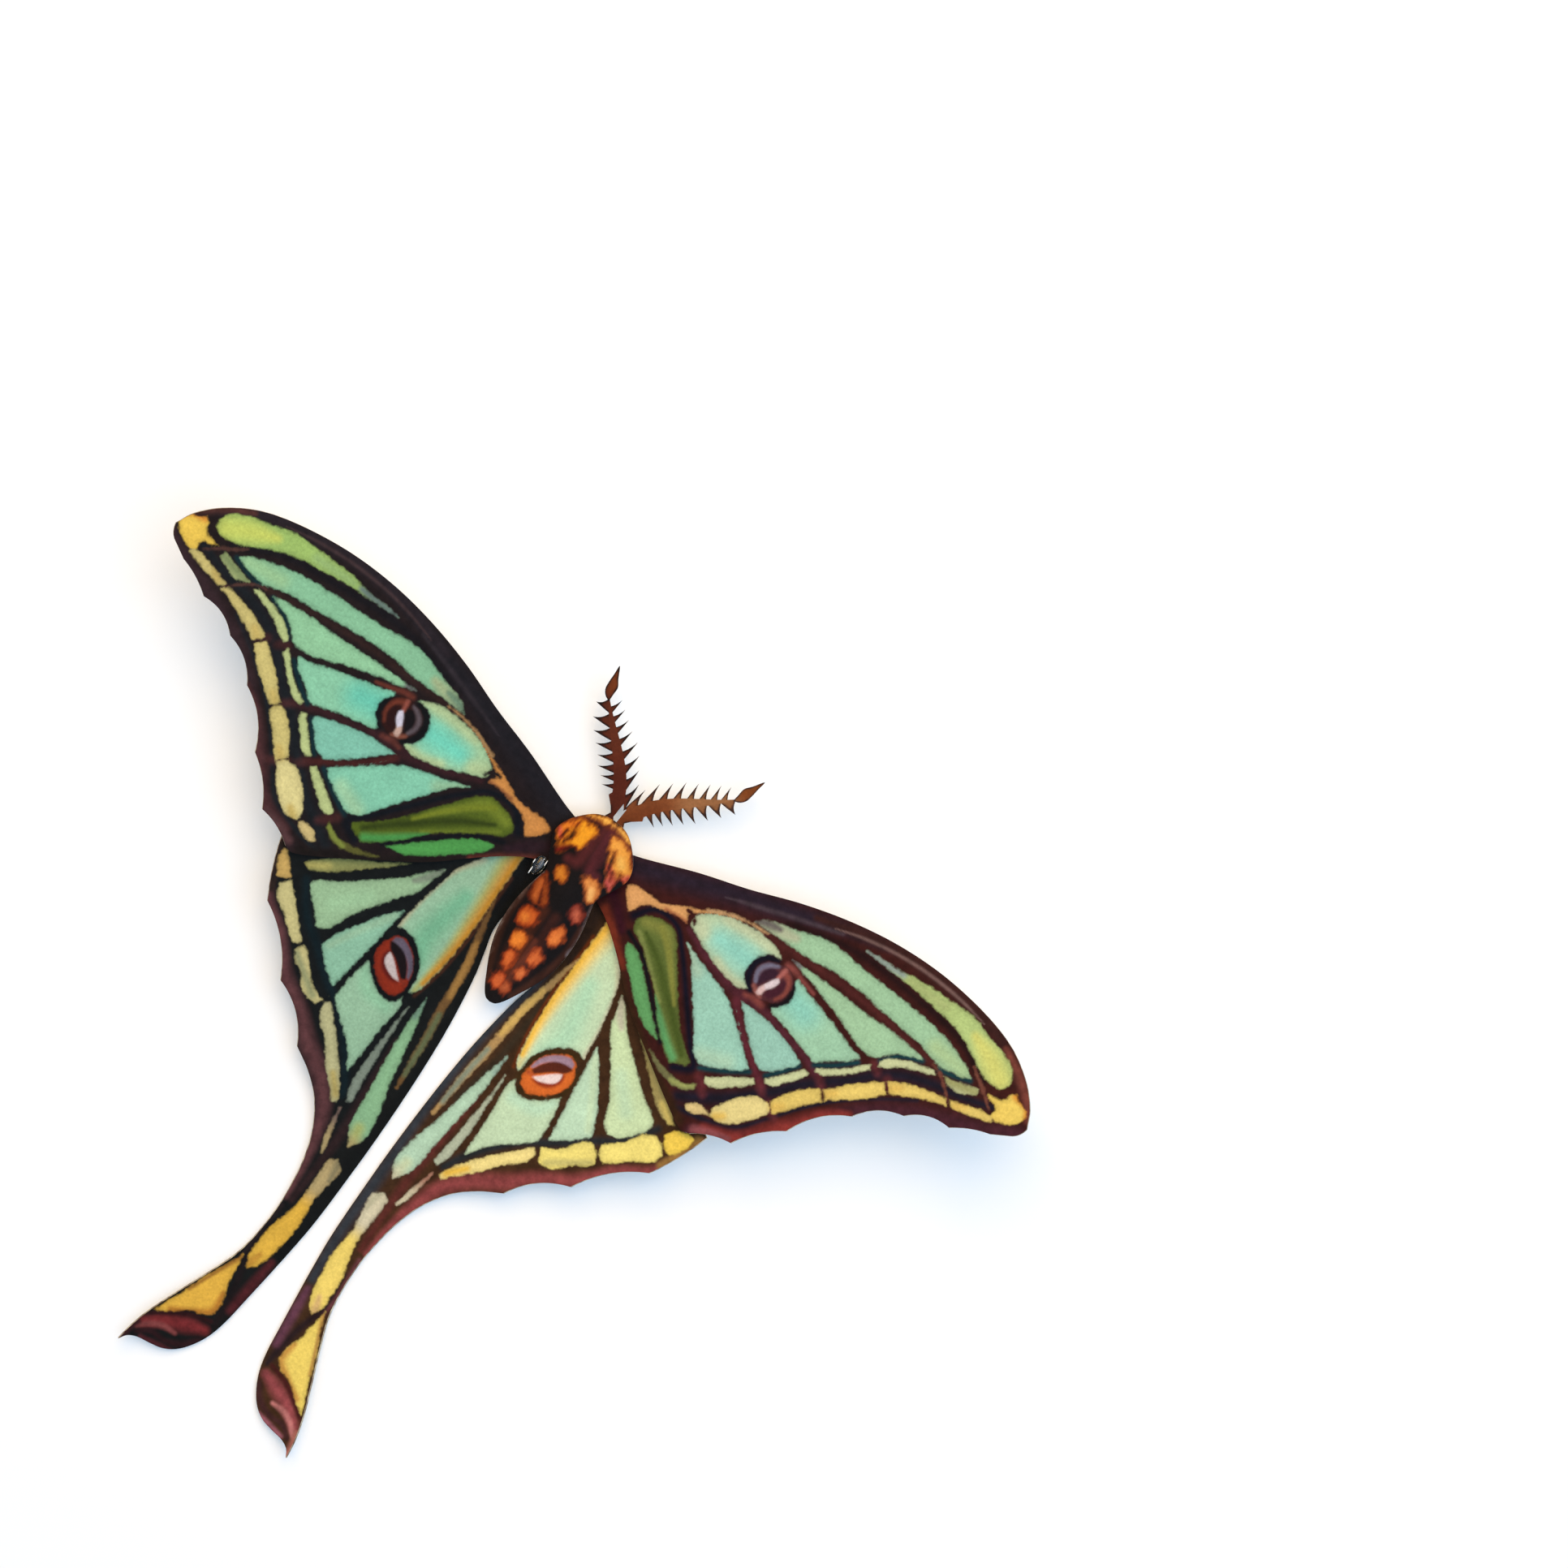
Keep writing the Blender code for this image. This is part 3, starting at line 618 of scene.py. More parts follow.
# The eyespot, a tilted oval: an orange crescent, a white glint, a dark heart and a lilac rim.
hind.blot((6.65, -18.4), (7.0, -17.1), (7.9, -15.9), (8.9, -15.1), (9.9, -14.75), (10.8, -14.8),
          (11.5, -15.6), (11.95, -16.9), (11.9, -18), (11.5, -19), (10.8, -19.8), (10, -20.5), (9.1, -21),
          (8.1, -21.25), (7.4, -21.1), (6.9, -20.5), (6.65, -19.5))
hind.area(((222, 110, 50), (136, 42, 20)), (7.15, -18.8), (7.35, -17.8), (7.85, -16.9), (8.5, -16.2),
          (9.3, -15.7), (10, -15.45), (10.6, -15.6), (11.05, -16.2), (11.4, -16.9), (11.45, -17.7),
          (11.3, -18.3), (10.9, -19), (10.2, -19.7), (9.4, -20.25), (8.5, -20.6), (7.9, -20.55),
          (7.4, -20.2), (7.15, -19.6))
hind.patch(light, ((152, 62, 40), (92, 22, 14)), (8.0, -19.35), (8.8, -19.45), (9.7, -19.2),
           (10.4, -18.6), (10.7, -17.9), (10.6, -17.2), (10.2, -17.2), (10.1, -18), (9.6, -18.7),
           (8.8, -19), soft=0.2)
hind.patch(light, ((92, 48, 38), (22, 8, 12)), (7.5, -18.6), (7.9, -17.8), (8.6, -16.9), (9.5, -16.2),
           (10.5, -16.1), (10.9, -16.4), (10.5, -17), (9.6, -17.5), (8.7, -18.2), (7.9, -18.9), soft=0.15)
hind.patch(light, ((166, 134, 142), (96, 86, 100)), (7.25, -18.5), (7.5, -17.4), (8.3, -16.4),
           (9.3, -15.75), (10.1, -15.5), (10.7, -15.8), (10.75, -16.25), (10.1, -16.3), (9.3, -16.5),
           (8.6, -16.95), (8.0, -17.6), (7.55, -18.4), soft=0.12)
hind.patch(light, ((238, 212, 196), (196, 182, 178)), (7.95, -19.1), (8.5, -18.65), (9.2, -18.0),
           (9.9, -17.45), (10.3, -17.25), (10.4, -17.7), (10.25, -18.25), (9.8, -18.65), (9.2, -18.95),
           (8.5, -19.15), soft=0.1)
hind.wash(light, ((188, 88, 50), (128, 44, 26)), (7.4, -19.0, 0.4), (7.9, -18.95, 0.3))
hind.wash(dark, ((66, 50, 34), (5, 8, 8)), (7.0, -19.8, 0.8), (6.9, -18.2, 0.8), (7.6, -16.6, 0.8),
          (9, -15.4, 0.8), (10.6, -15.1, 0.7))
hind.wash(dark, ((66, 50, 34), (5, 8, 8)), (7.6, -20.9, 0.8), (9.6, -20.5, 0.7), (11, -19.4, 0.6),
          (11.6, -18.2, 0.6), (11.6, -16.4, 0.6))
hind.fill(lower)
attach(lower, "root")
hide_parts("hindwing_left", "hindwing_right", "tail_left", "tail_right")


# The upper wing card: the two forewings, one sheet of the same printed card, creased like the lower
# card and glued onto it.
COSTA = [(0, 2.6), (4.3, 3.7), (10, 5.8), (15, 7.35), (20, 9.15), (25, 10.5), (30, 11.3), (35, 11.45),
         (40, 10.9), (44, 9.85), (47, 8.15), (49, 6.2), (49.95, 4.4)]
FORE_TIPS = [(49.95, 4.4), (49.2, 3.1), (47.4, 2.05), (43.9, 0.3), (39.75, -1.3), (35.75, -4.2),
             (31.5, -8.9), (27.8, -12.9), (24.0, -14.5)]
FORE_SCALLOPS = [-0.1, 0.0, 0.05, 0.12, 0.11, 0.1, 0.07, 0.07]
FORE_HIND_EDGE = [(24.0, -14.5), (22.9, -14.6), (20, -13.1), (16, -10.7), (12, -8.2), (8, -4.9),
                  (5, -2.8), (2.5, -1.8), (0, -1.6)]


def upper_form(flat, lift):
    """From the upper card's flat frame to the model's."""
    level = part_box("forewing_right")[0].z / MM + CARD / 2
    return creased(flat, lift) + (0, 0, level)


upper_print = printed("upper_print", 0.1, 0.15)
upper_outline = both_halves(smooth_line(COSTA), scalloped(FORE_TIPS, FORE_SCALLOPS),
                            smooth_line(FORE_HIND_EDGE))
upper, upper_flat, upper_face = card_piece("upper_wing_card", upper_outline, upper_form,
                                           (upper_print, cut_edge, card_back), PRINT_PITCH)

# The right value of each colour is lighter and warmer than the left by painted sheen of the warm lamp, most
# in the dark inks.
MINT = ((162, 202, 166), (140, 195, 158))
PALE_GREEN = ((192, 204, 160), (176, 198, 146))
TURQUOISE = ((146, 211, 187), (110, 205, 178))
BROWN = ((66, 38, 36), (30, 19, 18))
NAVY = ((40, 38, 46), (22, 25, 28))
YELLOW = ((230, 202, 108), (205, 188, 116))
PALE_LEAF = ((208, 214, 158), (188, 200, 134))

# On the left forewing the print lies nearer the fold than on the right, up to ROOT_END out from it, and
# beyond TIP_START it lies further out: by so much a millimetre.
ROOT_END = 14
ROOT_SLIP = 0.1
TIP_START = 24
TIP_SLIP = 0.025
out_left = np.clip(-upper_flat[:upper_face, 0], 0, None)
slip = (ROOT_SLIP * np.clip(ROOT_END - out_left, 0, None) * (out_left > 0)
        - TIP_SLIP * np.clip(out_left - TIP_START, 0, None))
fore = Print(upper_flat[:upper_face] - np.stack([slip, 0 * slip], 1), MINT, BROWN)
light, dark = fore.light, fore.dark

# The green and turquoise cells between the veins.
fore.area(((180, 202, 160), (160, 196, 150)), (12.3, 2.1), (12.6, 2.7), (13.3, 3.3), (15.2, 4.15),
          (17, 4.5), (19, 4.6), (20.5, 4.35), (21.5, 3.9), (22, 2.5), (21, 0.8), (20.4, -0.3),
          (19.5, -0.7), (18.4, -0.7), (17, -0.35), (15.5, 0.1), (14, 0.65), (12.9, 1.15), (12.4, 1.6))
fore.wash(light, TURQUOISE, (15.6, 1.9, 2.2), (18.4, 1.9, 3.2), (20, 1.8, 2.6), strength=0.95)
fore.wash(light, PALE_GREEN, (15, 3.9, 0.9), (17, 4.2, 1.2), (19.5, 4.3, 1.2), (21, 4.1, 0.9))
fore.wash(light, PALE_GREEN, (16.5, 0, 0.9), (18.5, -0.6, 1), (20, -0.5, 0.8))
fore.wash(light, PALE_GREEN, (12.7, 2.0, 1.5), (13.6, 1.5, 1.4))
fore.area(((160, 199, 154), (137, 191, 149)), (17.4, 5.2), (18, 5.8), (19, 6.25), (20.5, 6.6), (22, 7.1),
          (24, 7.7), (26, 7.8), (28, 7.55), (31, 7.45), (34, 7.3), (37, 7.1), (39, 6.75), (41, 6.1),
          (42.2, 5.65), (42.8, 5.2), (42.3, 4.9), (41, 4.6), (39.75, 4.4), (38.8, 4.55), (37.5, 5),
          (35, 5.2), (32, 5.5), (29, 5.75), (26, 5.75), (23.5, 5.4), (20, 5.35))
fore.wash(light, ((180, 188, 150), (161, 177, 132)), (17.5, 5.5, 1.6), (20, 5.9, 1.6), (21.5, 6.2, 0.8))
fore.wash(light, ((174, 203, 146), (152, 194, 143)), (38.5, 5.6, 1.4), (42, 5.3, 1.5))
fore.area(((164, 202, 156), (145, 197, 151)), (22.4, 4.4), (25, 4.45), (29, 4.4), (32, 4.3), (35, 4.42),
          (37.3, 4.25), (38.2, 3.95), (37.2, 3.6), (36.2, 3.2), (35.5, 2.7), (34.9, 2.1), (34.4, 1.6),
          (33.4, 1.4), (32, 1.6), (30, 2.2), (28, 2.8), (26, 3.4), (24, 3.95))
fore.wash(light, ((128, 124, 122), (110, 112, 108)), (22.3, 4.4, 0.6), (23.4, 4.3, 0.6))
fore.wash(light, ((112, 106, 98), (112, 140, 112)), (17.3, 5.4, 0.8), (18.6, 5.8, 0.9), (19.8, 6.0, 0.5))
fore.area(((160, 203, 164), (138, 198, 160)), (24.0, 3.1), (25, 2.8), (27, 2.3), (29, 1.8), (31, 1.25),
          (32.4, 0.95), (33.15, 0.65), (32.7, 0.05), (32, -0.5), (31.2, -1.05), (30.4, -1.75),
          (29.9, -2.15), (28.5, -2.0), (26.5, -1.4), (25, -0.95), (23.7, -0.75), (23, 0.5))
fore.wash(light, ((142, 207, 182), (102, 194, 168)), (24.2, 1.4, 2.8), (26.4, 1.0, 2.8), strength=0.9)
fore.area(((154, 201, 176), (128, 191, 165)), (20.4, -1.6), (21.5, -1.45), (24, -1.7), (26, -2.1),
          (27.8, -2.55), (28.8, -3.0), (28.6, -3.5), (28, -4.1), (27.3, -4.9), (26.5, -5.55),
          (25.4, -5.7), (24, -5), (22.5, -3.85), (21, -2.5))
fore.area(((157, 205, 178), (131, 197, 164)), (13.1, -0.15), (15, -0.8), (17.5, -1.5), (19.5, -2.2),
          (21, -3.25), (23, -4.75), (24.5, -5.85), (25, -6.3), (24.4, -6.9), (23.2, -7.6), (21.9, -8.3),
          (21.0, -8.6), (20.1, -8.3), (19, -6.9), (17, -4.4), (15, -1.9), (13.9, -0.7))
fore.wash(light, ((170, 202, 170), (146, 190, 150)), (13.5, -0.6, 1.3), (15.5, -1.8, 1.2))
fore.wash(light, ((172, 208, 174), (156, 200, 158)), (20.5, -8, 1.5), (23, -7, 1.4))

fore.line((8.3, -2.7, 0.5), (9.6, -3.3, 0.55), (11.2, -4.4, 0.5), (13.2, -6.2, 0.5), (15, -7.9, 0.5),
          (16.8, -9.5, 0.6))
fore.line((20.0, -1.4, 0.65), (21.5, -2.8, 0.7), (23, -4.15, 0.7), (24.7, -5.45, 0.65), (26.3, -6.4, 0.7),
          (28, -7.4, 0.6))
fore.line((12.6, 1.0, 0.6), (14.5, 0.15, 0.65), (17, -0.75, 0.75), (19.5, -1.2, 0.85), (22, -1.15, 0.75),
          (25, -1.35, 0.65), (29.5, -2.5, 0.7))
fore.line((23.6, 3.75, 0.6), (26, 3.15, 0.65), (29, 2.3, 0.65), (32, 1.25, 0.6), (33.6, 0.9, 0.5))
fore.line((21.8, 5.0, 0.6), (25, 5.0, 0.7), (29, 5.05, 0.75), (33, 4.85, 0.75), (37, 4.6, 0.7),
          (39.5, 4.2, 0.5))

# The yellow-green cell under the front edge, and the olive and bright green cells at the back.
fore.area(((182, 203, 126), (157, 188, 102)), (27.8, 9.1), (29, 9.3), (31.5, 9.4), (33, 9.7), (35, 9.85),
          (38, 9.92), (40.2, 9.88), (41.3, 9.5), (43, 9.05), (44.3, 8.7), (45.3, 8.25), (45.95, 7.6),
          (46.2, 6.9), (46.1, 6.3), (45.6, 5.95), (44.8, 5.88), (44, 6), (43, 6.4), (41.5, 7.15),
          (40, 7.85), (38.5, 8.25), (36, 8.6), (33, 8.9), (30.5, 8.95))
fore.wash(light, ((150, 166, 150), (108, 128, 118)), (28, 9.1, 1.4), (30.5, 9.2, 1.2), (32, 9.3, 0.7))
fore.wash(light, ((172, 186, 118), (146, 176, 108)), (33, 9.3, 0.8), (37, 9.2, 0.9))
fore.wash(light, ((210, 210, 114), (195, 204, 98)), (41, 8.6, 0.8), (43.5, 7.6, 2.0), (45.3, 6.6, 2.2))
fore.area(((100, 113, 58), (82, 97, 26)), (7.75, -1.4), (8, -0.75), (9, -0.1), (10, 0.15), (10.9, 0.2),
          (11.7, -0.2), (12.4, -0.95), (14, -3), (16, -5.5), (18, -7.6), (19.4, -8.65), (20.1, -9.15),
          (19.9, -9.6), (19.1, -9.85), (18.4, -10.2), (17.5, -9.6), (15.5, -8), (13, -5.4), (11, -3.9),
          (9.4, -2.75), (8.1, -2.05))
fore.wash(light, ((128, 132, 66), (112, 125, 38)), (8.6, -0.8, 1.0), (11, -0.6, 1.1), (12.4, -2, 0.7),
          (14.6, -4.6, 0.6))
fore.wash(light, ((76, 90, 44), (50, 62, 14)), (9.3, -1.7, 0.35), (12, -3.3, 0.8), (14, -4.9, 0.9),
          (16.5, -6.9, 0.8), (19, -9, 0.6))
fore.wash(light, ((132, 134, 64), (116, 126, 34)), (10.2, -0.4, 0.5), (11.8, -1.6, 0.5),
          (13.6, -3.4, 0.4), (15.6, -5.6, 0.35))
fore.wash(light, ((132, 142, 78), (104, 118, 36)), (8.6, -2.0, 0.4), (10.4, -3.3, 0.45),
          (12.6, -5.0, 0.4), (14.2, -6.2, 0.35))
fore.wash(light, ((98, 160, 98), (74, 146, 72)), (13.5, -6.1, 0.4), (15.5, -7.7, 0.7), (17.2, -9.0, 0.8),
          (18.4, -9.7, 0.8))
fore.area(((102, 162, 98), (78, 152, 74)), (8.3, -3.4), (9.5, -3.6), (10.5, -4.25), (12.5, -6),
          (14.5, -7.75), (16.1, -9.15), (15, -9.05), (13, -8), (11, -6.4), (9.5, -5.1), (8.6, -4.1))
fore.area(((118, 116, 76), (92, 90, 40)), (16.2, -10.4), (17.5, -10.75), (19, -11.05), (20.4, -11.1),
          (21.3, -10.75), (21.9, -10.35), (21.85, -10.85), (21.1, -11.45), (20, -11.75), (18.8, -11.55),
          (17.4, -11.1))
fore.wash(light, ((160, 166, 96), (130, 140, 60)), (19.6, -11.5, 0.5), (21, -11.1, 0.6), (21.7, -10.7, 0.5))
fore.area(((220, 162, 100), (206, 138, 70)), (5.05, 0.9), (5.8, 1.3), (7.5, 1.35), (9, 1.45), (10, 2.0),
          (11, 2.5), (12, 2.95), (13.2, 3.45), (14.2, 3.8), (13, 3.2), (12, 2.6), (11.4, 2.0), (11.8, 1.6),
          (11.9, 1.3), (11, 1.35), (10, 1.2), (9, 0.95), (8, 0.65), (7.3, 0.15), (6.95, -0.5), (6.6, -1.0),
          (6.2, -0.6), (5.6, -0.05))
fore.wash(light, ((178, 112, 74), (150, 92, 52)), (9.5, 1.2, 0.4), (12, 1.35, 0.5))
fore.streak(((200, 158, 110), (170, 130, 84)), (13.0, 3.45, 0.45), (15, 4.35, 0.36), (17, 4.82, 0.28),
            (19, 5.0, 0.2))

# The yellow spots along the outer margin, the apex and the pale lines inside them.
fore.area(YELLOW, (28.4, -7.9), (29.0, -6.9), (29.9, -5.5), (31.2, -4.3), (32.3, -3.6), (33.4, -2.4),
          (34.8, -1.1), (36.2, 0.0), (37.3, 0.8), (38.8, 1.5), (40.5, 1.95), (42.3, 2.35), (44.0, 2.9),
          (45.4, 3.3), (46.7, 3.5), (46.8, 3.0), (45.3, 2.5), (43.8, 2.1), (42.3, 1.75), (41.0, 1.3),
          (39.6, 0.65), (38.2, 0.0), (37.1, -0.7), (36.3, -1.6), (35.2, -2.6), (34, -3.5), (33.0, -4.3),
          (32.0, -5.4), (31.1, -6.4), (30.2, -7.5), (29.5, -8.3), (28.9, -8.6))
for x, y in ((28.9, -8.1), (32.4, -4.25), (36.95, -0.1), (42.5, 2.1)):
    fore.line((x - 0.5, y + 0.55, 0.34), (x, y, 0.3), (x + 0.5, y - 0.6, 0.36))
fore.area(((232, 214, 138), (218, 204, 138)), (24.5, -11.2), (25.3, -9.9), (26.3, -8.7), (27.6, -7.9),
          (28.6, -7.9), (29.2, -8.4), (28.6, -9.4), (27.6, -10.6), (26.6, -11.5), (25.4, -12.0),
          (24.6, -11.9))
fore.area(((226, 200, 132), (208, 184, 122)), (22.1, -12.6), (22.5, -12.05), (23.2, -11.75), (24, -11.75),
          (24.4, -12), (23.8, -12.4), (23, -12.75), (22.4, -12.85))
fore.area(((240, 208, 100), (232, 194, 80)), (47.4, 6.5), (47.75, 6.05), (48.4, 5.9), (49, 5.7),
          (49.2, 5.25), (49, 4.5), (48.25, 3.75), (47.25, 3.35), (46.4, 3.35), (46.6, 4.1), (46.3, 4.6),
          (45.6, 4.65), (45.1, 4.9), (46.4, 5.1), (46.8, 5.6), (47.0, 6.2))
fore.wash(light, ((228, 152, 60), (222, 148, 56)), (47.4, 6.3, 0.7), (48.9, 5.9, 0.6), (49.4, 5.0, 0.5))
for spot in ((37.4, 0.1), (43.3, 2.3), (32.6, -3.9), (29.2, -7.8), (25.1, -11.8)):
    fore.wash(light, ((226, 190, 96), (200, 176, 100)), (*spot, 0.9), (spot[0] + 0.6, spot[1] + 0.5, 0.7))
fore.area(PALE_LEAF, (40.8, 3.85), (42, 4.1), (43.2, 4.5), (44.1, 4.75), (44.25, 4.2), (43.4, 3.8),
          (42.4, 3.4), (41.4, 3.5))
fore.area(PALE_LEAF, (34.9, 1.5), (36, 2.5), (37.2, 3.1), (38.5, 3.45), (39.6, 3.75), (40, 3.5),
          (39, 3.1), (37.6, 2.6), (36.5, 2.0), (35.6, 1.3), (35.1, 1.1))
fore.area(PALE_LEAF, (30.4, -2.5), (31.3, -2.0), (32.3, -1.3), (33.2, -0.5), (33.9, 0.3), (34.4, 0.75),
          (34.6, 0.3), (33.8, -0.5), (33, -1.3), (32, -2.1), (31, -2.75), (30.5, -2.8))
fore.area(PALE_LEAF, (27, -6.1), (27.9, -5.2), (28.8, -4.2), (29.5, -3.3), (30, -3.4), (29.6, -4.3),
          (28.7, -5.3), (27.9, -6.2), (27.2, -6.5))
fore.area(PALE_LEAF, (22.2, -9.3), (23.4, -8.5), (24.8, -7.5), (26, -6.8), (26.4, -7.1), (25.6, -7.9),
          (24.2, -9.0), (23, -9.8), (22.4, -9.8))
fore.wash(light, ((168, 168, 108), (132, 146, 96)), (41, 3.7, 1), (44, 4.4, 1))

# The dark parts: near-black front edge, purplish veins, a navy band and the maroon margin.
fore.wash(dark, ((50, 42, 50), (28, 24, 28)), (2, 2.0, 2.2), (8, 4.0, 2.2), (14, 6.2, 2.2),
          (20, 8.0, 1.8), (25, 9.6, 1.2), (30, 10.8, 0.8))
fore.wash(dark, ((64, 42, 40), (36, 28, 32)), (22, 8.9, 0.6), (30, 10.9, 1.2), (37, 10.9, 1.2),
          (43, 9.8, 1.2), (47, 7.7, 1.2))
fore.wash(dark, ((46, 30, 34), (20, 15, 18)), (20, 6.9, 0.5), (27, 8.5, 0.8), (34, 8.3, 0.7),
          (40, 7.5, 0.7), (44, 5.6, 0.6))
fore.wash(dark, ((84, 72, 76), (52, 44, 48)), (13.5, 5.4, 0.1), (15, 5.95, 0.28), (17, 6.6, 0.4),
          (20, 7.6, 0.4), (23, 8.5, 0.35), (25, 9.1, 0.3), strength=0.6)
fore.wash(dark, ((124, 98, 90), (66, 48, 48)), (24, 9.1, 0.1), (27, 9.95, 0.26), (30, 10.5, 0.28),
          (34, 10.75, 0.3), (38, 10.5, 0.26), (41, 10.0, 0.1), strength=0.8)
fore.wash(dark, ((118, 66, 56), (78, 44, 38)), (44, 9.3, 0.5), (46.5, 8.0, 0.8), (48.4, 6.6, 0.9),
          (49.6, 5.2, 0.8))
fore.wash(dark, ((84, 46, 52), (50, 24, 26)), (12.5, 1.0, 0.5), (16, -0.3, 0.8), (20, -1.1, 1),
          (22.5, -1.0, 0.8), (26, -1.7, 0.6), (29.5, -2.5, 0.7), (31.8, -3.6, 0.6))
fore.wash(dark, ((92, 46, 52), (66, 28, 24)), (20.3, -1.9, 0.7), (23, -4.3, 0.6), (26, -6.2, 0.7),
          (28.4, -7.7, 0.6))
fore.wash(dark, ((80, 44, 42), (44, 26, 22)), (18, 4.9, 0.5), (22, 5.0, 0.7), (27, 5.2, 0.6),
          (34, 4.85, 0.6), (39, 4.2, 0.6))
fore.wash(dark, ((28, 30, 42), (12, 14, 20)), (7.3, -1.0, 0.9), (8.5, 0.5, 0.6), (11.5, 0.5, 0.5),
          (13, -0.9, 0.5), (16, -4.2, 0.6), (19, -7.6, 0.6), (20.6, -9.4, 0.8), (19, -10.4, 0.8))
fore.wash(dark, ((24, 30, 36), (10, 12, 16)), (7.8, -2.6, 0.5), (10, -3.5, 0.5), (13, -6, 0.5),
          (16.6, -9.2, 0.5))
fore.wash(dark, NAVY, (46.2, 4.2, 0.6), (43, 3.2, 0.8), (40, 2.6, 1), (37, 1.4, 1.1), (35.5, 0.3, 1.1),
          (33.5, -1.7, 1.1), (31.3, -3.5, 1.1), (29.7, -5, 1.1), (28.5, -6.5, 1.1), (27, -7.9, 1.1),
          (25, -9.7, 1.2), (23, -11.1, 1.2), (21, -12.3, 1))
fore.wash(dark, NAVY, (21.5, -13.2, 0.6), (24, -12.7, 0.5), (27, -11.7, 0.5), (29.4, -9.0, 0.4),
          (31.2, -6.6, 0.35), (33, -4.6, 0.35), (36.8, -1.5, 0.35), (40, 0.6, 0.35))
for teal in (((43, 4.95), (41.5, 4.45), (40, 4.15)), ((38.2, 3.85), (36.2, 2.95), (34.9, 1.5)),
             ((33.3, 0.2), (31.3, -1.55), (30, -2.4)), ((28.9, -3.3), (28, -4.5), (26.8, -5.9)),
             ((25.3, -6.5), (23, -8), (21.2, -8.95))):
    fore.wash(dark, ((26, 62, 66), (8, 40, 44)), *[(x, y, 0.5) for x, y in teal])
fore.wash(dark, ((74, 44, 50), (50, 32, 35)), (49.5, 3.6, 1.2), (47, 2.3, 1.2), (43.7, 0.9, 1.4),
          (40, -0.7, 1.4), (36.4, -3.1, 1.3), (34.3, -5.3, 1.2), (31.8, -8.4, 1.3), (28, -12.5, 1.3),
          (24, -14.2, 1))
fore.wash(dark, ((136, 58, 52), (76, 42, 42)), (35.5, -4.1, 0.5), (34, -5.4, 1.0), (32, -7.8, 1.3),
          (30.4, -9.6, 1.3), (28.3, -12.1, 1.2), (25, -13.4, 1.0), strength=0.95)
fore.wash(dark, ((134, 76, 76), (84, 54, 54)), (27.4, -12.7, 0.5), (25.5, -13.3, 0.7), (24.1, -13.9, 0.7))
for x, y in ((21.6, -9.6), (26.8, -6.9), (31.1, -3.1), (36.5, 0.5), (34.7, 1.0), (22.2, -10.3),
             (29.1, -8.2)):
    fore.wash(dark, ((108, 54, 56), (74, 36, 34)), (x, y, 0.8), (x + 0.7, y - 0.5, 0.7), strength=0.6)
fore.wash(dark, ((58, 42, 30), (24, 16, 12)), (9, -5.9, 0.9), (13, -8.8, 0.9), (17, -11.4, 1),
          (20, -12.8, 0.9), (22.5, -14.1, 0.9))
fore.wash(dark, ((112, 52, 40), (92, 42, 32)), (4.6, -2.2, 0.9), (6.2, -3.2, 0.9), (8, -4.6, 0.7),
          (9.4, -5.6, 0.5))
fore.wash(dark, ((60, 34, 40), (42, 22, 28)), (4.5, -0.6, 1.0), (5.8, -1.6, 1.1), (7.2, -2.9, 0.7))
fore.streak(((124, 76, 62), (84, 54, 46)), (39.2, 4.15, 0.2), (40.2, 3.9, 0.32), (41.2, 3.2, 0.3),
            (42.5, 2.1, 0.15))
fore.streak(((124, 76, 62), (84, 54, 46)), (42.6, 6.2, 0.2), (43.6, 5.5, 0.34), (45, 4.6, 0.3),
            (46, 3.8, 0.15))
fore.line((11.3, 2.35, 0.3), (12.2, 2.2, 0.45), (12.6, 1.6, 0.3))

# The eyespot: a black ring round a dark core, with a purple rim, a russet side and a white glint.
fore.blot((19.3, 1.55), (19.4, 2.4), (19.85, 3.1), (20.5, 3.6), (21.5, 3.8), (22.5, 3.85), (23.4, 3.4),
          (24.0, 2.7), (24.5, 2.0), (24.6, 1.2), (24.4, 0.55), (23.95, 0), (23.3, -0.5), (22.4, -0.85),
          (21.3, -0.7), (20.5, -0.35), (19.7, 0.2), (19.4, 0.75))
fore.area(((88, 52, 55), (46, 18, 12)), (20.1, 1.7), (20.25, 2.3), (20.6, 2.8), (21.1, 3.1), (21.7, 3.25),
          (22.3, 3.4), (23.0, 3.3), (23.5, 3.0), (23.9, 2.4), (24.0, 1.6), (23.9, 0.9), (23.5, 0.3),
          (22.9, -0.15), (22.2, -0.35), (21.4, -0.3), (20.8, 0.05), (20.45, 0.5), (20.2, 1.05))
fore.wash(light, ((140, 76, 66), (106, 48, 32)), (22.6, 3.0, 0.6), (23.3, 2.6, 0.55), (23.7, 1.9, 0.4),
          (23.7, 1.1, 0.35), (23.3, 0.4, 0.3))
fore.patch(light, ((74, 42, 50), (40, 14, 10)), (22.2, 0.1), (22.1, 0.6), (22.6, 1.2), (22.8, 1.9),
           (22.9, 2.4), (23.3, 2.2), (23.4, 1.4), (23.1, 0.6), (22.7, 0.1))
fore.patch(light, ((62, 42, 52), (18, 8, 10)), (20.65, 0.9), (20.75, 1.8), (21.0, 2.4), (21.6, 2.75),
           (22.15, 2.6), (22.15, 2.1), (21.7, 1.5), (21.35, 0.9), (21.1, 0.5))
fore.wash(light, ((122, 118, 134), (92, 80, 84)), (20.7, 0.7, 0.35), (20.35, 1.5, 0.5), (20.5, 2.2, 0.5),
          (21.0, 2.75, 0.45), (21.7, 3.1, 0.35))
fore.wash(light, ((176, 104, 94), (140, 74, 60)), (22.35, 2.2, 0.35), (22.45, 2.8, 0.4), (22.5, 3.2, 0.4))
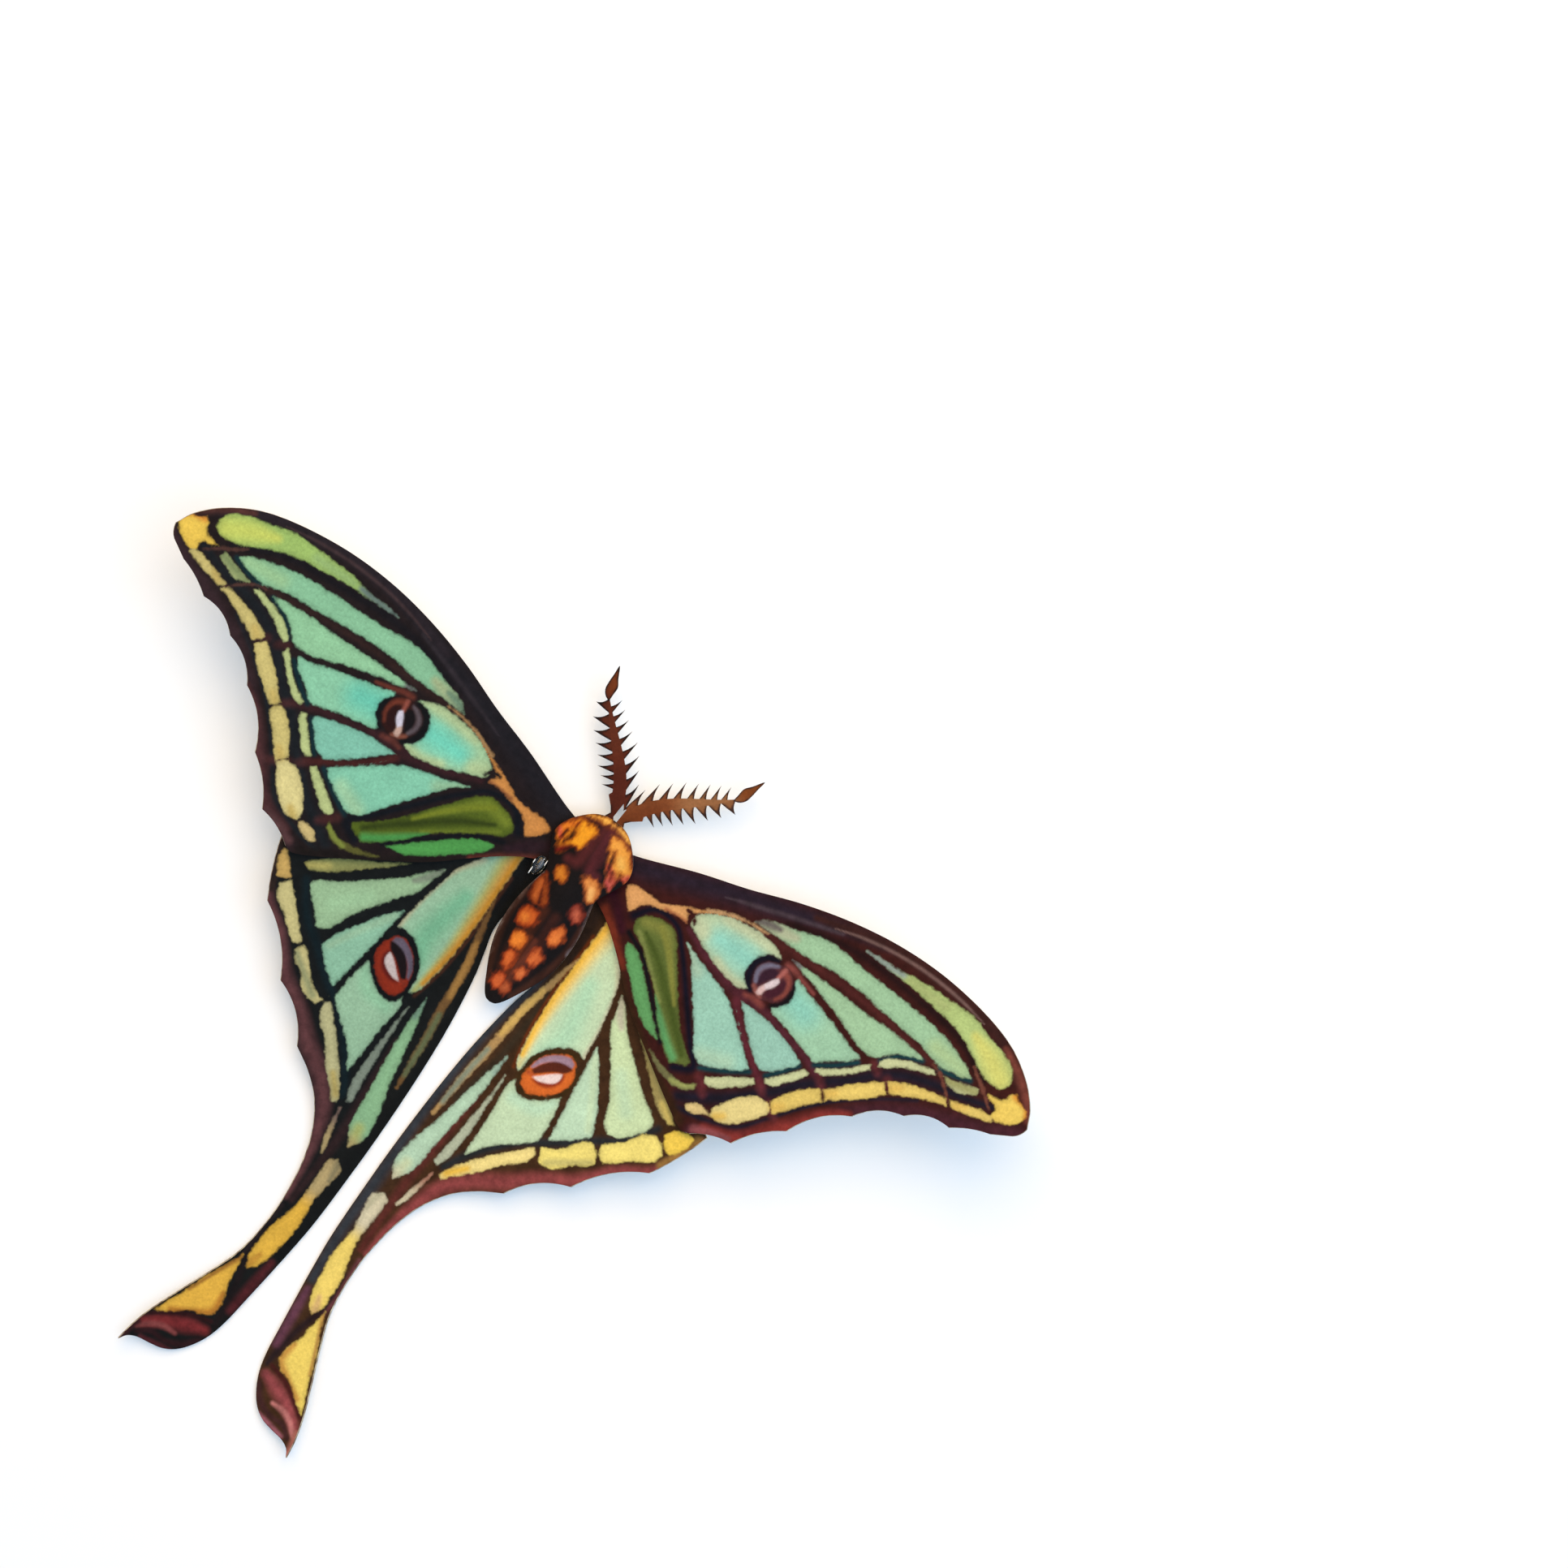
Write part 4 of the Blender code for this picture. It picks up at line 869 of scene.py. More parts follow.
fore.wash(light, ((152, 92, 82), (132, 76, 58)), (20.75, 0.3, 0.35), (21.3, -0.05, 0.45), (21.9, -0.3, 0.4))
fore.patch(light, ((216, 184, 174), (192, 158, 142)), (21.35, -0.15), (21.35, 0.5), (21.7, 1.1),
           (22.1, 0.9), (21.95, 0.45), (21.92, 0), (21.65, -0.2), soft=0.12)
fore.patch(light, ((220, 204, 200), (204, 198, 210)), (21.6, 0.95), (21.75, 1.25), (22.15, 1.95),
           (22.4, 2.2), (22.68, 1.95), (22.6, 1.5), (22.25, 0.9), (21.9, 0.6), soft=0.12)
fore.wash(dark, ((20, 32, 42), (4, 7, 12)), (21.4, 3.5, 0.5), (20.2, 3.05, 1), (19.7, 2.2, 1),
          (19.7, 1.2, 1), (20.1, 0.3, 0.9), (20.8, -0.3, 0.5))
fore.wash(dark, ((34, 28, 36), (10, 9, 13)), (24.1, 2.5, 0.7), (24.35, 1.4, 0.8), (24.1, 0.4, 0.8),
          (23.4, -0.3, 0.6))
fore.wash(dark, ((128, 70, 64), (98, 46, 34)), (22.4, 3.7, 0.6), (23.3, 3.65, 0.55), (24.3, 3.35, 0.45),
          (26, 2.95, 0.3))
fore.wash(dark, ((122, 66, 60), (92, 46, 38)), (20.6, -0.9, 0.4), (21.7, -0.7, 0.6), (22.6, -0.85, 0.5))
fore.fill(upper)
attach(upper, "root")
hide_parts("forewing_left", "forewing_right")


# The body card: head, thorax and abdomen in one leaf of printed card, domed across its width and glued
# over the folds of the wings, a little to the right and turned.
BODY_EDGE = [(0, 5.2), (1, 5.1), (2, 4.65), (3, 3.75), (3.8, 2.7), (4.17, 1.7), (4.15, 0.9),
             (3.75, -0.1), (3.15, -1.3), (2.8, -2.2), (2.95, -3.1), (3.3, -4.6), (3.52, -6.2),
             (3.55, -7.8), (3.4, -9.3), (3.05, -10.7), (2.5, -12.1), (1.85, -13.4), (1.2, -14.6),
             (0.6, -15.35), (0, -15.55)]
BODY_SHIFT = 0.55
BODY_TURN = math.radians(0.7)
BODY_HALF_WIDTH = 4.2
BODY_DROP = 0.75
BODY_PITCH = 0.1
SOLID_CARD = 0.55


def on_body(points, height):
    """From the body card's own flat frame to the model's."""
    x, y = points[:, 0], points[:, 1]
    return np.stack([BODY_SHIFT + x * math.cos(BODY_TURN) - y * math.sin(BODY_TURN),
                     x * math.sin(BODY_TURN) + y * math.cos(BODY_TURN), height], 1)


def domed(flat, lift):
    """From the body card's flat frame to the model's, highest along its middle."""
    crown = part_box("thorax")[1].z / MM - SOLID_CARD / 2
    return on_body(flat, crown - BODY_DROP * (flat[:, 0] / BODY_HALF_WIDTH) ** 2 + lift)


body_print = printed("body_print", 0.22, 0.3, 2.5, (0.6, 0.38, 0.3, 1), 0.5)
body_outline = both_halves(smooth_line(BODY_EDGE, step=BODY_PITCH))
body, body_flat, body_face = card_piece("body_card", body_outline, domed,
                                        (body_print, cut_edge, card_back), BODY_PITCH)

BODY_DARK = ((17, 8, 4), (17, 7, 4))
AMBER = ((238, 160, 62), (244, 158, 34))
FLAME = ((208, 108, 44), (206, 100, 36))
RUST = ((174, 84, 52), (168, 72, 28))

coat = Print(body_flat[:body_face], FLAME, BODY_DARK, sheen=0)
light, dark = coat.light, coat.dark

# The collar and the thorax's two tufts, yellow above and red below, with dark gaps between the hairs.
coat.wash(dark, ((80, 30, 32), (76, 28, 28)), (0.1, 4.2, 1.1), (0.4, 2.8, 1.1), (0.6, 1.2, 1.3),
          (0.8, 0, 1.1), (1.6, -0.2, 0.8))
coat.wash(dark, ((92, 34, 26), (92, 36, 20)), (0, 4.4, 0.5), (1.6, 4.2, 0.5), (3, 3.4, 0.6), (4, 1.9, 0.5))
coat.streak(((252, 190, 84), (250, 184, 78)), (-0.6, 4.8, 0.55), (0.6, 4.8, 0.55), (1.5, 4.66, 0.5),
            (2.3, 4.3, 0.4))
coat.area(AMBER, (0.7, 3.9), (1.5, 4.05), (2.6, 3.75), (3.4, 2.95), (4.05, 2.1), (4.1, 1.4), (4.2, 0.9),
          (3.5, 0.9), (3.3, 0.1), (3.25, -0.5), (2.9, -0.4), (2.5, 0.3), (1.9, 1.2), (1.3, 2.4),
          (0.8, 3.3), side=1)
coat.wash(light, ((232, 112, 84), (230, 110, 80)), (1.9, 1.3, 0.6), (2.6, 0.7, 0.8), (3.2, 0.3, 0.9),
          (4.1, 1.4, 0.6), side=1)
coat.wash(light, ((221, 104, 94), (200, 80, 70)), (2.6, 0, 0.7), (3.2, -0.4, 0.8), side=1)
coat.wash(light, ((250, 186, 84), (250, 186, 84)), (2.5, 2.4, 0.7), (3, 2.0, 0.6), side=1)
coat.line((1.65, 2.7, 0.1), (1.85, 2.1, 0.2), (2.0, 1.2, 0.25), side=1)
coat.line((3.45, 1.3, 0.08), (3.6, 0.7, 0.2), side=1)
coat.line((2.6, 1.0, 0.06), (2.8, 0.2, 0.14), side=1)
coat.area(AMBER, (0.7, 3.3), (1.2, 3.75), (1.8, 3.6), (2.3, 3.75), (3.2, 3.0), (3.8, 2.3), (4.15, 1.9),
          (4.0, 1.2), (3.6, 0.8), (3.2, 0.9), (3.2, -0.2), (2.9, -0.5), (2.4, 0.2), (1.9, 0.9),
          (1.3, 1.1), (0.95, 1.8), (0.75, 2.6), side=-1)
coat.wash(light, ((240, 140, 50), (240, 134, 40)), (2.8, 3.0, 0.5), (3.5, 2.3, 0.8), (3.6, 1.4, 0.7),
          side=-1)
coat.wash(light, ((150, 50, 36), (126, 34, 22)), (1.6, 0.9, 0.5), (2.4, 0.4, 0.9), (3.1, -0.3, 0.9),
          side=-1)
coat.wash(light, ((226, 104, 70), (220, 100, 66)), (3.4, 1.1, 0.5), (4.0, 1.7, 0.5), side=-1)
coat.line((2.65, 3.6, 0.15), (2.7, 2.7, 0.22), (2.6, 1.6, 0.3), (2.9, 0.9, 0.2), side=-1)
coat.line((3.25, 1.9, 0.08), (3.4, 0.9, 0.2), side=-1)
coat.line((1.75, 3.9, 0.35), (1.8, 3.45, 0.1), side=-1)
coat.line((2.0, 0.9, 0.1), (2.4, 0.1, 0.2), side=-1)

# The spots down the two sides of the abdomen, which run together near its end.
coat.area(((222, 140, 66), (210, 120, 34)), (0.6, -0.9), (1.0, -0.45), (1.7, -0.45), (2.3, -0.9),
          (2.7, -1.5), (2.7, -2.3), (2.2, -2.7), (1.7, -2.3), (1.3, -1.7), (0.7, -1.3), side=1)
coat.wash(light, ((242, 178, 98), (242, 178, 98)), (1.9, -1.5, 0.6), (2.2, -2.2, 0.6), side=1)
coat.area(((150, 66, 46), (150, 66, 46)), (1.5, -3.6), (2.1, -3.1), (2.7, -3.7), (2.75, -4.6),
          (2.2, -5.1), (1.5, -4.8), (1.4, -4.1), side=1)
coat.wash(light, ((186, 92, 62), (186, 92, 62)), (2.1, -4.1, 0.7), (2.4, -4.6, 0.5), side=1)
coat.area(((224, 122, 52), (224, 122, 52)), (1.7, -5.6), (2.2, -6.3), (2.55, -7.1), (2.2, -7.8),
          (1.6, -7.95), (1.1, -7.6), (1.0, -6.9), (1.4, -6.2), side=1)
coat.area(((208, 104, 48), (208, 104, 48)), (1.1, -8.7), (1.6, -9.1), (1.9, -9.6), (1.6, -10.2),
          (1.1, -10.7), (0.6, -10.4), (0.6, -9.6), (0.8, -9), side=1)
coat.area(((214, 112, 56), (214, 112, 56)), (0.7, -11.1), (1.2, -11.1), (1.45, -11.6), (1.2, -12.2),
          (0.7, -12.4), (0.4, -11.8), side=1)
coat.area(((172, 84, 44), (172, 84, 44)), (0.2, -13.1), (0.7, -13.0), (1.05, -13.6), (0.7, -14.2),
          (0.1, -14.3), (-0.4, -13.9), side=1)
coat.area(((206, 118, 36), (212, 124, 36)), (0.6, -1.9), (0.9, -1.3), (1.5, -1.05), (2.15, -1.4),
          (1.9, -2.1), (1.4, -2.4), (0.8, -2.35), side=-1)
coat.area(((158, 72, 26), (146, 66, 22)), (2.5, -2.5), (2.85, -3.3), (2.85, -4.6), (2.4, -5.5),
          (1.7, -5.6), (1.0, -5.3), (0.8, -4.7), (1.3, -3.9), (2.0, -2.9), side=-1)
coat.wash(light, ((190, 96, 40), (190, 96, 40)), (2.4, -3.4, 0.5), (2.1, -4.8, 0.7), side=-1)
coat.line((2.4, -2.8, 0.06), (1.9, -4.2, 0.12), (1.5, -5.2, 0.1), side=-1)
coat.area(((196, 90, 32), (196, 90, 32)), (0.9, -6), (1.6, -5.8), (2.3, -6), (2.45, -7), (2.2, -7.8),
          (1.5, -8), (0.9, -7.6), (0.7, -6.9), side=-1)
coat.wash(light, ((222, 122, 46), (222, 122, 46)), (1.9, -7.1, 0.8), side=-1)
coat.area(((230, 128, 44), (230, 128, 44)), (0.9, -8.3), (1.5, -8.3), (1.8, -8.9), (1.7, -9.8),
          (1.1, -10.2), (0.5, -9.8), (0.5, -8.9), side=-1)
coat.area(((206, 98, 42), (206, 98, 42)), (0.4, -10.4), (1.2, -10.2), (1.5, -11), (1.2, -11.9),
          (0.5, -12.2), (0.2, -11.3), side=-1)
coat.area(((200, 92, 44), (200, 92, 44)), (0.1, -12.7), (0.9, -12.6), (1.35, -13.2), (1.1, -13.9),
          (0.4, -14.3), (-0.2, -14), side=-1)
coat.wash(dark, RUST, (0.3, -8.4, 0.5), (0.4, -10, 0.9), (0.3, -12, 0.9), (0.2, -13.6, 0.7), strength=0.25)
coat.wash(dark, ((74, 32, 20), (84, 36, 16)), (0.6, -5.5, 0.9), (0.7, -7.5, 0.9), (0.9, -9.5, 1.3),
          (0.9, -12, 1), strength=0.5)
coat.wash(dark, ((58, 30, 18), (52, 26, 16)), (3.2, -5, 0.5), (3.3, -8, 0.6), (2.6, -11, 0.7),
          (1.4, -14, 0.6))
# A painted highlight: thin pale grey lines along the abdomen's edges stand in for the lit cut edge of the
# card.
coat.streak(((104, 100, 104), (128, 122, 118)), (2.85, -2.6, 0.06), (3.27, -4.6, 0.1), (3.5, -6.2, 0.12),
            (3.53, -7.8, 0.12), (3.38, -9.3, 0.12), (3.03, -10.7, 0.1), (2.5, -12.1, 0.06), side=-1)
coat.streak(((120, 120, 126), (120, 120, 126)), (2.85, -2.6, 0.1), (3.27, -4.6, 0.1), (3.5, -6.2, 0.08),
            (3.53, -7.8, 0.05), side=1)
coat.fill(body)
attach(body, "root")
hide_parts("head", "thorax", "abdomen")


# The antennae: two combs of thin card, cut toothed and dyed brown, whose root plates lie side by side
# under the head. They rise a little from there, and the laser has burnt the points of their teeth.
ANTENNA_ROOT = (0.0, 5.4)
ANTENNA_TURN = math.radians(-3.95)
ANTENNA_SPREAD = math.radians(40)
ANTENNA_SLOPE = math.radians(7)
COMB_START = (0.5, 0.0)
COMB_LENGTH = 11.3
COMB_BOW = 0.82
BOW_PEAK = 4 / 27
SHAFT_HALF = 0.66
SHAFT_TAPER = 2.2
REACH_SWELL = 0.8
UNEVEN_LENGTH = (0.93, 1.07)
TOOTH_COUNT = 8
TOOTH_REACH = (1.15, 0.8)
TOOTH_SINK = 0.5
TOOTH_THINNER = 0.02
BURNT = 0.13
SLOT_TOP = 2.3
SHAFT_START = {-1: 1.6, 1: 2.25}
SHAFT_END = 10.9
SHAFT_FOOT = (2.05, 0.3)
SLOT_EDGE = {1: 0.18, -1: 0.38}
ROOT_PLATE = [(1.22, 0.66), (0.83, 0.16), (1.05, -0.3), (1.25, -0.9), (1.25, -2.8), (0.15, -2.8),
              (0.15, -0.3)]
LEAF = [(11.0, -0.05), (11.45, -0.37), (12.1, -0.83), (12.9, -0.9), (14.15, -1.05), (13.4, -0.53),
        (12.7, -0.02), (12.0, 0.36), (11.3, 0.32), (11.0, 0.15)]


def comb_to_pair(points, side):
    """From a comb's own frame, along and across it, to the frame that the two antennae share."""
    along, across = points[:, 0], points[:, 1]
    x = COMB_START[0] + along * math.sin(ANTENNA_SPREAD) + across * math.cos(ANTENNA_SPREAD)
    y = COMB_START[1] + along * math.cos(ANTENNA_SPREAD) - across * math.sin(ANTENNA_SPREAD)
    return np.stack([side * x, y], 1)


def risen(flat, lift):
    """From the antennae's shared flat frame to the model's, sloping up from the head."""
    x, y = flat.T
    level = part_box("antenna_right")[0].z / MM + SOLID_CARD / 2
    turned = np.stack([ANTENNA_ROOT[0] + x * math.cos(ANTENNA_TURN) - y * math.sin(ANTENNA_TURN),
                       ANTENNA_ROOT[1] + x * math.sin(ANTENNA_TURN) + y * math.cos(ANTENNA_TURN)], 1)
    return on_body(turned, level + np.clip(y, 0, None) * math.tan(ANTENNA_SLOPE) + lift)


def shaft_edge(side):
    """Points along one edge of a comb's shaft, which bows sideways and narrows to the leaf."""
    along = np.arange(SHAFT_START[side], SHAFT_END, 2 * CUT_STEP)
    share = along / COMB_LENGTH
    centre = -COMB_BOW / BOW_PEAK * share * (1 - share) ** 2
    return np.stack([along, centre + side * SHAFT_HALF * (1 - share**SHAFT_TAPER)], 1)


def tooth_blade():
    """One tooth, a unit wide and long: straight on the side of the head, hollow on the other. A row says
    how far along it is and where the tooth's two edges are."""
    rows = [(0, -0.93, 0.05), (0.15, -0.8, 0.0), (0.3, -0.67, -0.06), (0.5, -0.49, -0.1), (0.7, -0.3, -0.09),
            (0.88, -0.13, -0.05), (1, -0.01, 0.0)]
    half = (CARD - TOOTH_THINNER) / 2
    points, depth = [], []
    for y, left, right in rows:
        middle = (right - left) / 2 - BURNT - 0.12 * y
        for x, inside in ((left, -0.1), ((left + right) / 2, middle), (right, -0.1)):
            points += [(x, y, half), (x, y, -half)]
            depth += [inside, inside]
    faces = []
    for k in range(len(rows) - 1):
        a, b = 6 * k, 6 * k + 6
        for left in (0, 2):
            faces.append((a + left, a + left + 2, b + left + 2, b + left))
            faces.append((a + left + 1, b + left + 1, b + left + 3, a + left + 3))
        faces += [(a, b, b + 1, a + 1), (a + 4, a + 5, b + 5, b + 4)]
    last = 6 * len(rows) - 6
    for at in (0, last):
        for left in (0, 2):
            face = (at + left, at + left + 1, at + left + 3, at + left + 2)
            faces.append(face if at == 0 else face[::-1])
    mesh = bpy.data.meshes.new("tooth")
    mesh.from_pydata(points, [], faces)
    mesh.attributes.new("depth", "FLOAT", "POINT").data.foreach_set("value", depth)
    return bpy.data.objects.new("tooth", mesh)


def comb_teeth(finish):
    """A node tree that sets a row of teeth along one side of a comb's shaft. They get longer towards
    the middle of the shaft and no two are quite alike."""
    tree = bpy.data.node_groups.new("comb_teeth", "GeometryNodeTree")
    tree.interface.new_socket(name="Tooth", in_out="INPUT", socket_type="NodeSocketGeometry")
    for name, kind in (("Count", "Int"), ("First", "Float"), ("Pitch", "Float"), ("Growth", "Float"),
                       ("Lean", "Float"), ("Side", "Float"), ("Seed", "Int")):
        tree.interface.new_socket(name=name, in_out="INPUT", socket_type="NodeSocket" + kind)
    tree.interface.new_socket(name="Teeth", in_out="OUTPUT", socket_type="NodeSocketGeometry")
    given = node(tree, "NodeGroupInput", {}).outputs

    def sums(kind, first, second=0.0):
        return node(tree, "ShaderNodeMath", {0: first, 1: second}, operation=kind).outputs[0]

    def vector(x, y, z):
        return node(tree, "ShaderNodeCombineXYZ", {0: x, 1: y, 2: z}).outputs[0]

    def uneven(low, high):
        made = node(tree, "FunctionNodeRandomValue", {2: low, 3: high, "Seed": given["Seed"]},
                    data_type="FLOAT")
        return made.outputs[1]

    index = node(tree, "GeometryNodeInputIndex", {}).outputs[0]
    growing = sums("MULTIPLY", given["Growth"], index)
    step = sums("ADD", given["Pitch"], sums("MULTIPLY", growing, 2.0))
    tip = sums("ADD", given["First"], sums("MULTIPLY", index, sums("ADD", given["Pitch"], growing)))
    share = sums("MINIMUM", sums("DIVIDE", tip, COMB_LENGTH), 1.0)
    rest = sums("SUBTRACT", 1.0, share)
    centre = sums("MULTIPLY", sums("MULTIPLY", share, sums("MULTIPLY", rest, rest)), -COMB_BOW / BOW_PEAK)
    narrowed = sums("SUBTRACT", 1.0, sums("POWER", share, SHAFT_TAPER))
    half = sums("MULTIPLY", narrowed, SHAFT_HALF * TOOTH_SINK)
    swell = sums("POWER", sums("SINE", sums("MULTIPLY", share, math.pi)), REACH_SWELL)
    reach = sums("ADD", sums("MULTIPLY", swell, TOOTH_REACH[1]), TOOTH_REACH[0])
    length = sums("MULTIPLY", sums("SUBTRACT", reach, half), uneven(*UNEVEN_LENGTH))

    read = node(tree, "ShaderNodeSeparateXYZ", {0: node(tree, "GeometryNodeInputPosition", {}).outputs[0]})
    lean = vector(sums("MULTIPLY", read.outputs[1], given["Lean"]), 0.0, 0.0)
    blade = node(tree, "GeometryNodeSetPosition", {"Geometry": given["Tooth"], "Offset": lean})
    row = node(tree, "GeometryNodeMeshLine", {"Count": given["Count"]})
    place = vector(sums("SUBTRACT", tip, sums("MULTIPLY", step, given["Lean"])),
                   sums("ADD", centre, sums("MULTIPLY", half, given["Side"])), 0.0)
    row = node(tree, "GeometryNodeSetPosition", {"Geometry": row.outputs[0], "Position": place})
    size = vector(sums("MULTIPLY", step, uneven(0.94, 1.06)), sums("MULTIPLY", length, given["Side"]), 1.0)
    teeth = node(tree, "GeometryNodeInstanceOnPoints", {"Points": row.outputs[0],
                                                        "Instance": blade.outputs[0], "Scale": size})
    whole = node(tree, "GeometryNodeRealizeInstances", {"Geometry": teeth.outputs[0]})
    dyed = node(tree, "GeometryNodeSetMaterial", {"Geometry": whole.outputs[0], "Material": finish})
    node(tree, "NodeGroupOutput", {0: dyed.outputs[0]})
    return tree


def teeth_row(tree, values):
    """Runs the tree with its named inputs set, and gives the row's mesh."""
    maker = tooth_blade()
    bpy.context.scene.collection.objects.link(maker)
    modifier = maker.modifiers.new("teeth", "NODES")
    modifier.node_group = tree
    for item in tree.interface.items_tree:
        if item.name in values:
            modifier[item.identifier] = values[item.name]
    ready = maker.evaluated_get(bpy.context.evaluated_depsgraph_get())
    mesh = bpy.data.meshes.new_from_object(ready)
    maker.modifiers.remove(modifier)
    bpy.data.objects.remove(maker)
    return mesh


antenna_dye = printed("antenna_dye", 0.05, 0.09)
teeth_tree = comb_teeth(antenna_dye)
COMB_BROWN = ((140, 78, 40), (96, 40, 22))
COMB_BURNT = ((58, 36, 28), (34, 20, 16))
COMB_DEPTH = 0.4
LEAF_LINE = 0.22
ROOT_LINE = 0.2
FACES_UP = 0.5


def dyed_comb(flat):
    """The dye on points of the antennae: redder at the root, tan towards the tip."""
    made = Print(flat, COMB_BROWN, COMB_BURNT, sheen=0)
    made.depth[:] = COMB_DEPTH
    made.wash(made.light, ((116, 58, 26), (84, 34, 20)), (0.6, 0.3, 2.2), (2.6, 2.6, 2.6))
    made.wash(made.light, ((158, 106, 64), (98, 44, 26)), (4.6, 5.6, 2.4), (6.6, 7.8, 2.6))
    made.wash(made.light, ((134, 70, 28), (122, 58, 24)), (8.0, 9.6, 1.2), (8.6, 10.8, 1.2))
    return made


def comb_card(side, hand):
    """One antenna's root plate, shaft and leaf, cut in one. The root's inner edge is one side of the slot
    between the two combs."""
    comb = np.vstack([shaft_edge(-1), smooth_line(LEAF, step=0.25, tightness=FULL),
                      shaft_edge(1)[::-1], [SHAFT_FOOT]])
    blade = comb_to_pair(comb, 1)
    corners = [blade[-1], *ROOT_PLATE, (SLOT_EDGE[side], 0.0), (SLOT_EDGE[side], SLOT_TOP), blade[0]]
    root = scalloped(corners, [0.0] * (len(corners) - 1))
    outline = np.vstack([blade, root[1:-1]]) * (side, 1)
    card, flat, face = card_piece("antenna_card_" + hand, outline[::side], risen,
                                  (antenna_dye, cut_edge, card_back), PRINT_PITCH)
    dye = dyed_comb(flat[:face])
    leaf = np.abs(comb_to_pair(np.array(LEAF), side))
    dye.line(*[(x, y, LEAF_LINE) for x, y in leaf])
    dye.line(*[(x, y, ROOT_LINE) for x, y in ROOT_PLATE[:3]])
    dye.fill(card)
    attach(card, "root")
    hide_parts("antenna_" + hand)


comb_card(1, "right")
comb_card(-1, "left")

# The four rows of teeth: the antenna, the seed, how far along the first point is, then the pitch, its
# growth, the lean and the side of the shaft.
TEETH_ROWS = ((1, 3, 3.03, 0.8, 0.045, -0.15, 1.0), (1, 5, 2.92, 1.43, -0.04, 0.8, -1.0),
              (-1, 8, 3.05, 0.8, 0.045, -0.1, 1.0), (-1, 13, 2.9, 1.43, -0.04, 0.76, -1.0))
teeth_points, teeth_faces, teeth_flat, teeth_depth = [], [], [], []
for side, seed, first, pitch, growth, lean, across in TEETH_ROWS:
    row = teeth_row(teeth_tree, {"Count": TOOTH_COUNT, "First": first, "Pitch": pitch, "Growth": growth,
                                 "Lean": lean, "Side": across, "Seed": seed})
    corners = np.array([v.co for v in row.vertices])
    inside = np.zeros(len(corners), np.float32)
    row.attributes["depth"].data.foreach_get("value", inside)
    flat = comb_to_pair(corners, side)
    start = sum(len(part) for part in teeth_points)
    teeth_points.append(np.array([risen(flat[k:k + 1], corners[k, 2])[0] for k in range(len(flat))]))
    teeth_faces += [[start + v for v in face.vertices] for face in row.polygons]
    teeth_flat.append(flat)
    teeth_depth.append(inside)
teeth_mesh = bpy.data.meshes.new("antenna_teeth")
teeth_mesh.from_pydata((np.vstack(teeth_points) * MM).tolist(), [], teeth_faces)
shaped = bmesh.new()
shaped.from_mesh(teeth_mesh)
bmesh.ops.recalc_face_normals(shaped, faces=shaped.faces)
shaped.to_mesh(teeth_mesh)
shaped.free()
for finish in (antenna_dye, cut_edge, card_back):
    teeth_mesh.materials.append(finish)
for face in teeth_mesh.polygons:
    face.material_index = 0 if face.normal.z > FACES_UP else 2 if face.normal.z < -FACES_UP else 1
teeth = bpy.data.objects.new("antenna_teeth", teeth_mesh)
bpy.context.scene.collection.objects.link(teeth)
teeth_dye = dyed_comb(np.vstack(teeth_flat))
teeth_dye.depth[:] = np.concatenate(teeth_depth)
teeth_dye.fill(teeth)
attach(teeth, "root")


# The glue: a clear pad that holds the body card and the antennae to the wings, and the bead that was
# squeezed out of it at the left of the waist, uneven and glossy. On the bead lie thin white threads that
# are painted glints, which stand in for the lamps' highlights on the glue.
PAD_HALF_WIDTH = 1.3
PAD_BACK = -5.0
PAD_FRONT = 2.2
BEAD_CENTRE = (-3.6, -2.35)
BEAD_HALF = (0.62, 1.0, 0.3)
LUMPS = 0.03
GLINT_THREADS = ((-3.1, -1.8, 0.32), (-3.45, -2.0, 0.5), (-3.95, -3.15, 0.4), (-4.15, -2.25, 0.22))
GLINT_THREAD_HALF = (0.06, 0.07)
GLINT_THREAD_SUNK = 0.12

